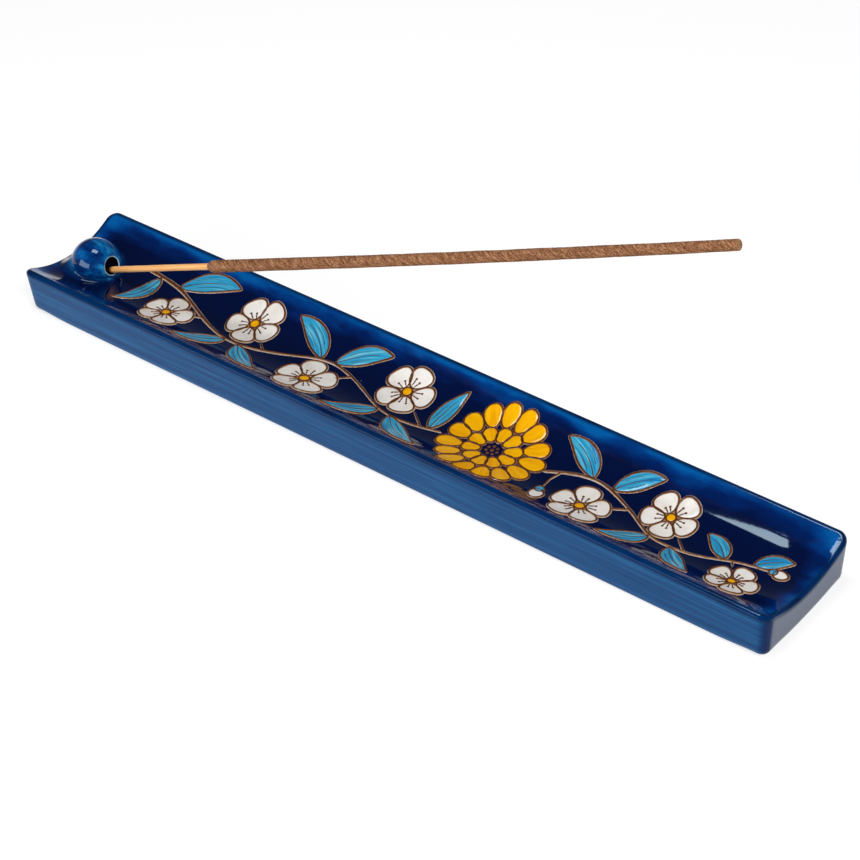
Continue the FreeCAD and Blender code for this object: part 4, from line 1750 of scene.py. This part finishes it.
def incense_finish():
    material, tree, shader = new_finish("incense_paste")
    spot = millimetres(tree)
    rolled = noise_of(tree, scaled(tree, painted(tree, "grain", True), ROLLED_STRETCH), 1.0, detail=3.0)
    grains = noise_of(tree, spot, 3.4, detail=4.0, roughness=0.7)
    colour = ramp(tree, weighed(tree, grains, GRAIN_SHARE, rolled), INCENSE_STOPS)
    colour, _ = speckled(tree, colour, spot, cells=1.8, share=0.22, strength=0.55, tint=INCENSE_FLECK)
    # The mask paints the stick's end paler.
    cut = sum_of(tree, "MULTIPLY", painted(tree, "cut"), grains)
    colour = colour_mix(tree, cut, colour, TIP_PALE)
    surface(tree, shader, colour, spread(tree, grains, (0.2, 0.8), INCENSE_ROUGH))
    bumped(tree, shader, grains, 0.30)
    shader.inputs["Specular IOR Level"].default_value = INCENSE_GLOSS
    return material


paste.data.materials.append(incense_finish())
print("finished", paste.data.materials[0].name)

# %% [markdown]
# The floor
#
# The part stands on a plain white floor, which keeps its soft shadow. More lamps could make the floor white,
# but they would also bleach the object. So the floor adds a little light of its own, which only the camera
# and reflections see, and the light on the object stays as it is.

# %% Floor
FLOOR_HALF = 4.0
FLOOR_GLOW = 0.70
FLOOR_WHITE = (0.82, 0.82, 0.82)
SEEN_WHITE = (0.40, 0.40, 0.40)


def floor_finish():
    material = bpy.data.materials.new("floor_white")
    material.use_nodes = True
    tree = material.node_tree
    tree.nodes.remove(tree.nodes["Principled BSDF"])
    path = add(tree, "ShaderNodeLightPath").outputs
    seen = sum_of(tree, "MAXIMUM", path["Is Camera Ray"], path["Is Glossy Ray"])
    seen = sum_of(tree, "MAXIMUM", seen, path["Is Transmission Ray"])
    plain = add(tree, "ShaderNodeBsdfDiffuse", Color=(*FLOOR_WHITE, 1)).outputs[0]
    dim = add(tree, "ShaderNodeBsdfDiffuse", Color=(*SEEN_WHITE, 1)).outputs[0]
    glow = add(tree, "ShaderNodeEmission", Strength=FLOOR_GLOW).outputs[0]
    both = tree.nodes.new("ShaderNodeAddShader")
    tree.links.new(dim, both.inputs[0])
    tree.links.new(glow, both.inputs[1])
    choice = tree.nodes.new("ShaderNodeMixShader")
    tree.links.new(seen, choice.inputs[0])
    tree.links.new(plain, choice.inputs[1])
    tree.links.new(both.outputs[0], choice.inputs[2])
    tree.links.new(choice.outputs[0], tree.nodes["Material Output"].inputs["Surface"])
    return material


def build_floor():
    half = FLOOR_HALF
    corners = [(-half, -half, 0), (half, -half, 0), (half, half, 0), (-half, half, 0)]
    mesh = bpy.data.meshes.new("floor")
    mesh.from_pydata(corners, [], [(0, 1, 2, 3)])
    floor = bpy.data.objects.new("floor", mesh)
    bpy.context.scene.collection.objects.link(floor)
    mesh.materials.append(floor_finish())
    return floor


floor = build_floor()
print("floor", floor.name, "is", 2 * FLOOR_HALF, "m wide")

# %% [markdown]
# Softboxes and sky
#
# A product photographer lights glossy glaze with large soft lamps, because the glaze mirrors their shapes.
# One softbox hangs over the tray and one stands in front. A third one fills in from the side and is kept out
# of the reflections. The sky is a dim gradient, so that the sides of the glaze don't mirror pure black.

# %% Softboxes
# Each lamp has a name, a place and an aim in metres, a size, a turn in degrees, a brightness, and whether
# reflections show it.
SOFTBOXES = [("overhead_softbox", (-0.06, -0.02, 0.78), (0, 0, 0), (0.34, 0.20), 87.6, 10.0, True),
             ("front_softbox", (-0.28, -0.80, 0.20), (-0.08, 0, 0.01), (0.76, 0.46), 0, 4.4, True),
             ("side_fill", (0.62, -0.30, 0.72), (0, 0, 0), (0.50, 0.50), 0, 8.0, False)]

for name, place, aim, size, turn, brightness, mirrored in SOFTBOXES:
    lamp = bpy.data.lights.new(name, "AREA")
    lamp.shape = "RECTANGLE"
    lamp.size, lamp.size_y = size
    lamp.energy = brightness * math.pi * size[0] * size[1]
    holder = bpy.data.objects.new(name, lamp)
    holder.location = place
    facing = (Vector(aim) - Vector(place)).to_track_quat("-Z", "Y").to_matrix()
    holder.rotation_euler = (facing @ Matrix.Rotation(math.radians(turn), 3, "Z")).to_euler()
    holder.visible_glossy = mirrored
    bpy.context.scene.collection.objects.link(holder)
    print(name, round(lamp.energy, 2), "W")

# %% Sky
SKY = [(0.50, (0.32, 0.32, 0.32)), (0.535, (0.22, 0.22, 0.23)), (0.60, (0.12, 0.12, 0.13)),
       (0.80, (0.04, 0.04, 0.045)), (1.0, (0.02, 0.02, 0.02))]

world = bpy.data.worlds.new("studio")
bpy.context.scene.world = world
world.use_nodes = True
sky_tree = world.node_tree
direction = add(sky_tree, "ShaderNodeTexCoord").outputs["Generated"]
sky_rise = add(sky_tree, "ShaderNodeSeparateXYZ", Vector=direction).outputs[2]
upward_share = spread(sky_tree, sky_rise, (-1.0, 1.0))
sky_tree.links.new(ramp(sky_tree, upward_share, SKY), sky_tree.nodes["Background"].inputs["Color"])
print("sky", world.name)

# %% [markdown]
# The camera
#
# The photograph was taken from the front right, well above the tray and with a slight roll. The camera is
# given by its angles, its distance and the point it looks at, in millimetres, and its lens by its focal
# length in pixels, because those can be measured from the tray's straight edges.

# %% Camera
IMAGE_SIZE = 860
FOCAL_PIXELS = 2386.2
SENSOR = 36.0
NEAREST = 0.01
VIEW_AZIMUTH = 41.346
VIEW_ELEVATION = 38.833
VIEW_ROLL = -4.08
VIEW_TARGET = (13.32, -5.12, 10.06)
VIEW_DISTANCE = 602.9

azimuth, elevation, roll = [math.radians(a) for a in (VIEW_AZIMUTH, VIEW_ELEVATION, VIEW_ROLL)]
back = Vector((math.sin(azimuth) * math.cos(elevation),
               -math.cos(azimuth) * math.cos(elevation),
               math.sin(elevation)))
level_right = (-back).cross(Vector((0, 0, 1))).normalized()
level_up = level_right.cross(-back)
right = level_right * math.cos(roll) + level_up * math.sin(roll)
up = level_up * math.cos(roll) - level_right * math.sin(roll)
lens = bpy.data.cameras.new("photo_camera")
lens.sensor_width = SENSOR
lens.lens = FOCAL_PIXELS * SENSOR / IMAGE_SIZE
lens.clip_start = NEAREST
camera = bpy.data.objects.new("photo_camera", lens)
camera_turn = Matrix((right, up, back)).transposed().to_4x4()
camera.matrix_world = Matrix.Translation((Vector(VIEW_TARGET) + back * VIEW_DISTANCE) * MM) @ camera_turn
bpy.context.scene.collection.objects.link(camera)
bpy.context.scene.camera = camera
bpy.context.scene.view_settings.view_transform = "Standard"
print("camera at", [round(v, 3) for v in camera.matrix_world.translation], "lens", round(lens.lens, 2))
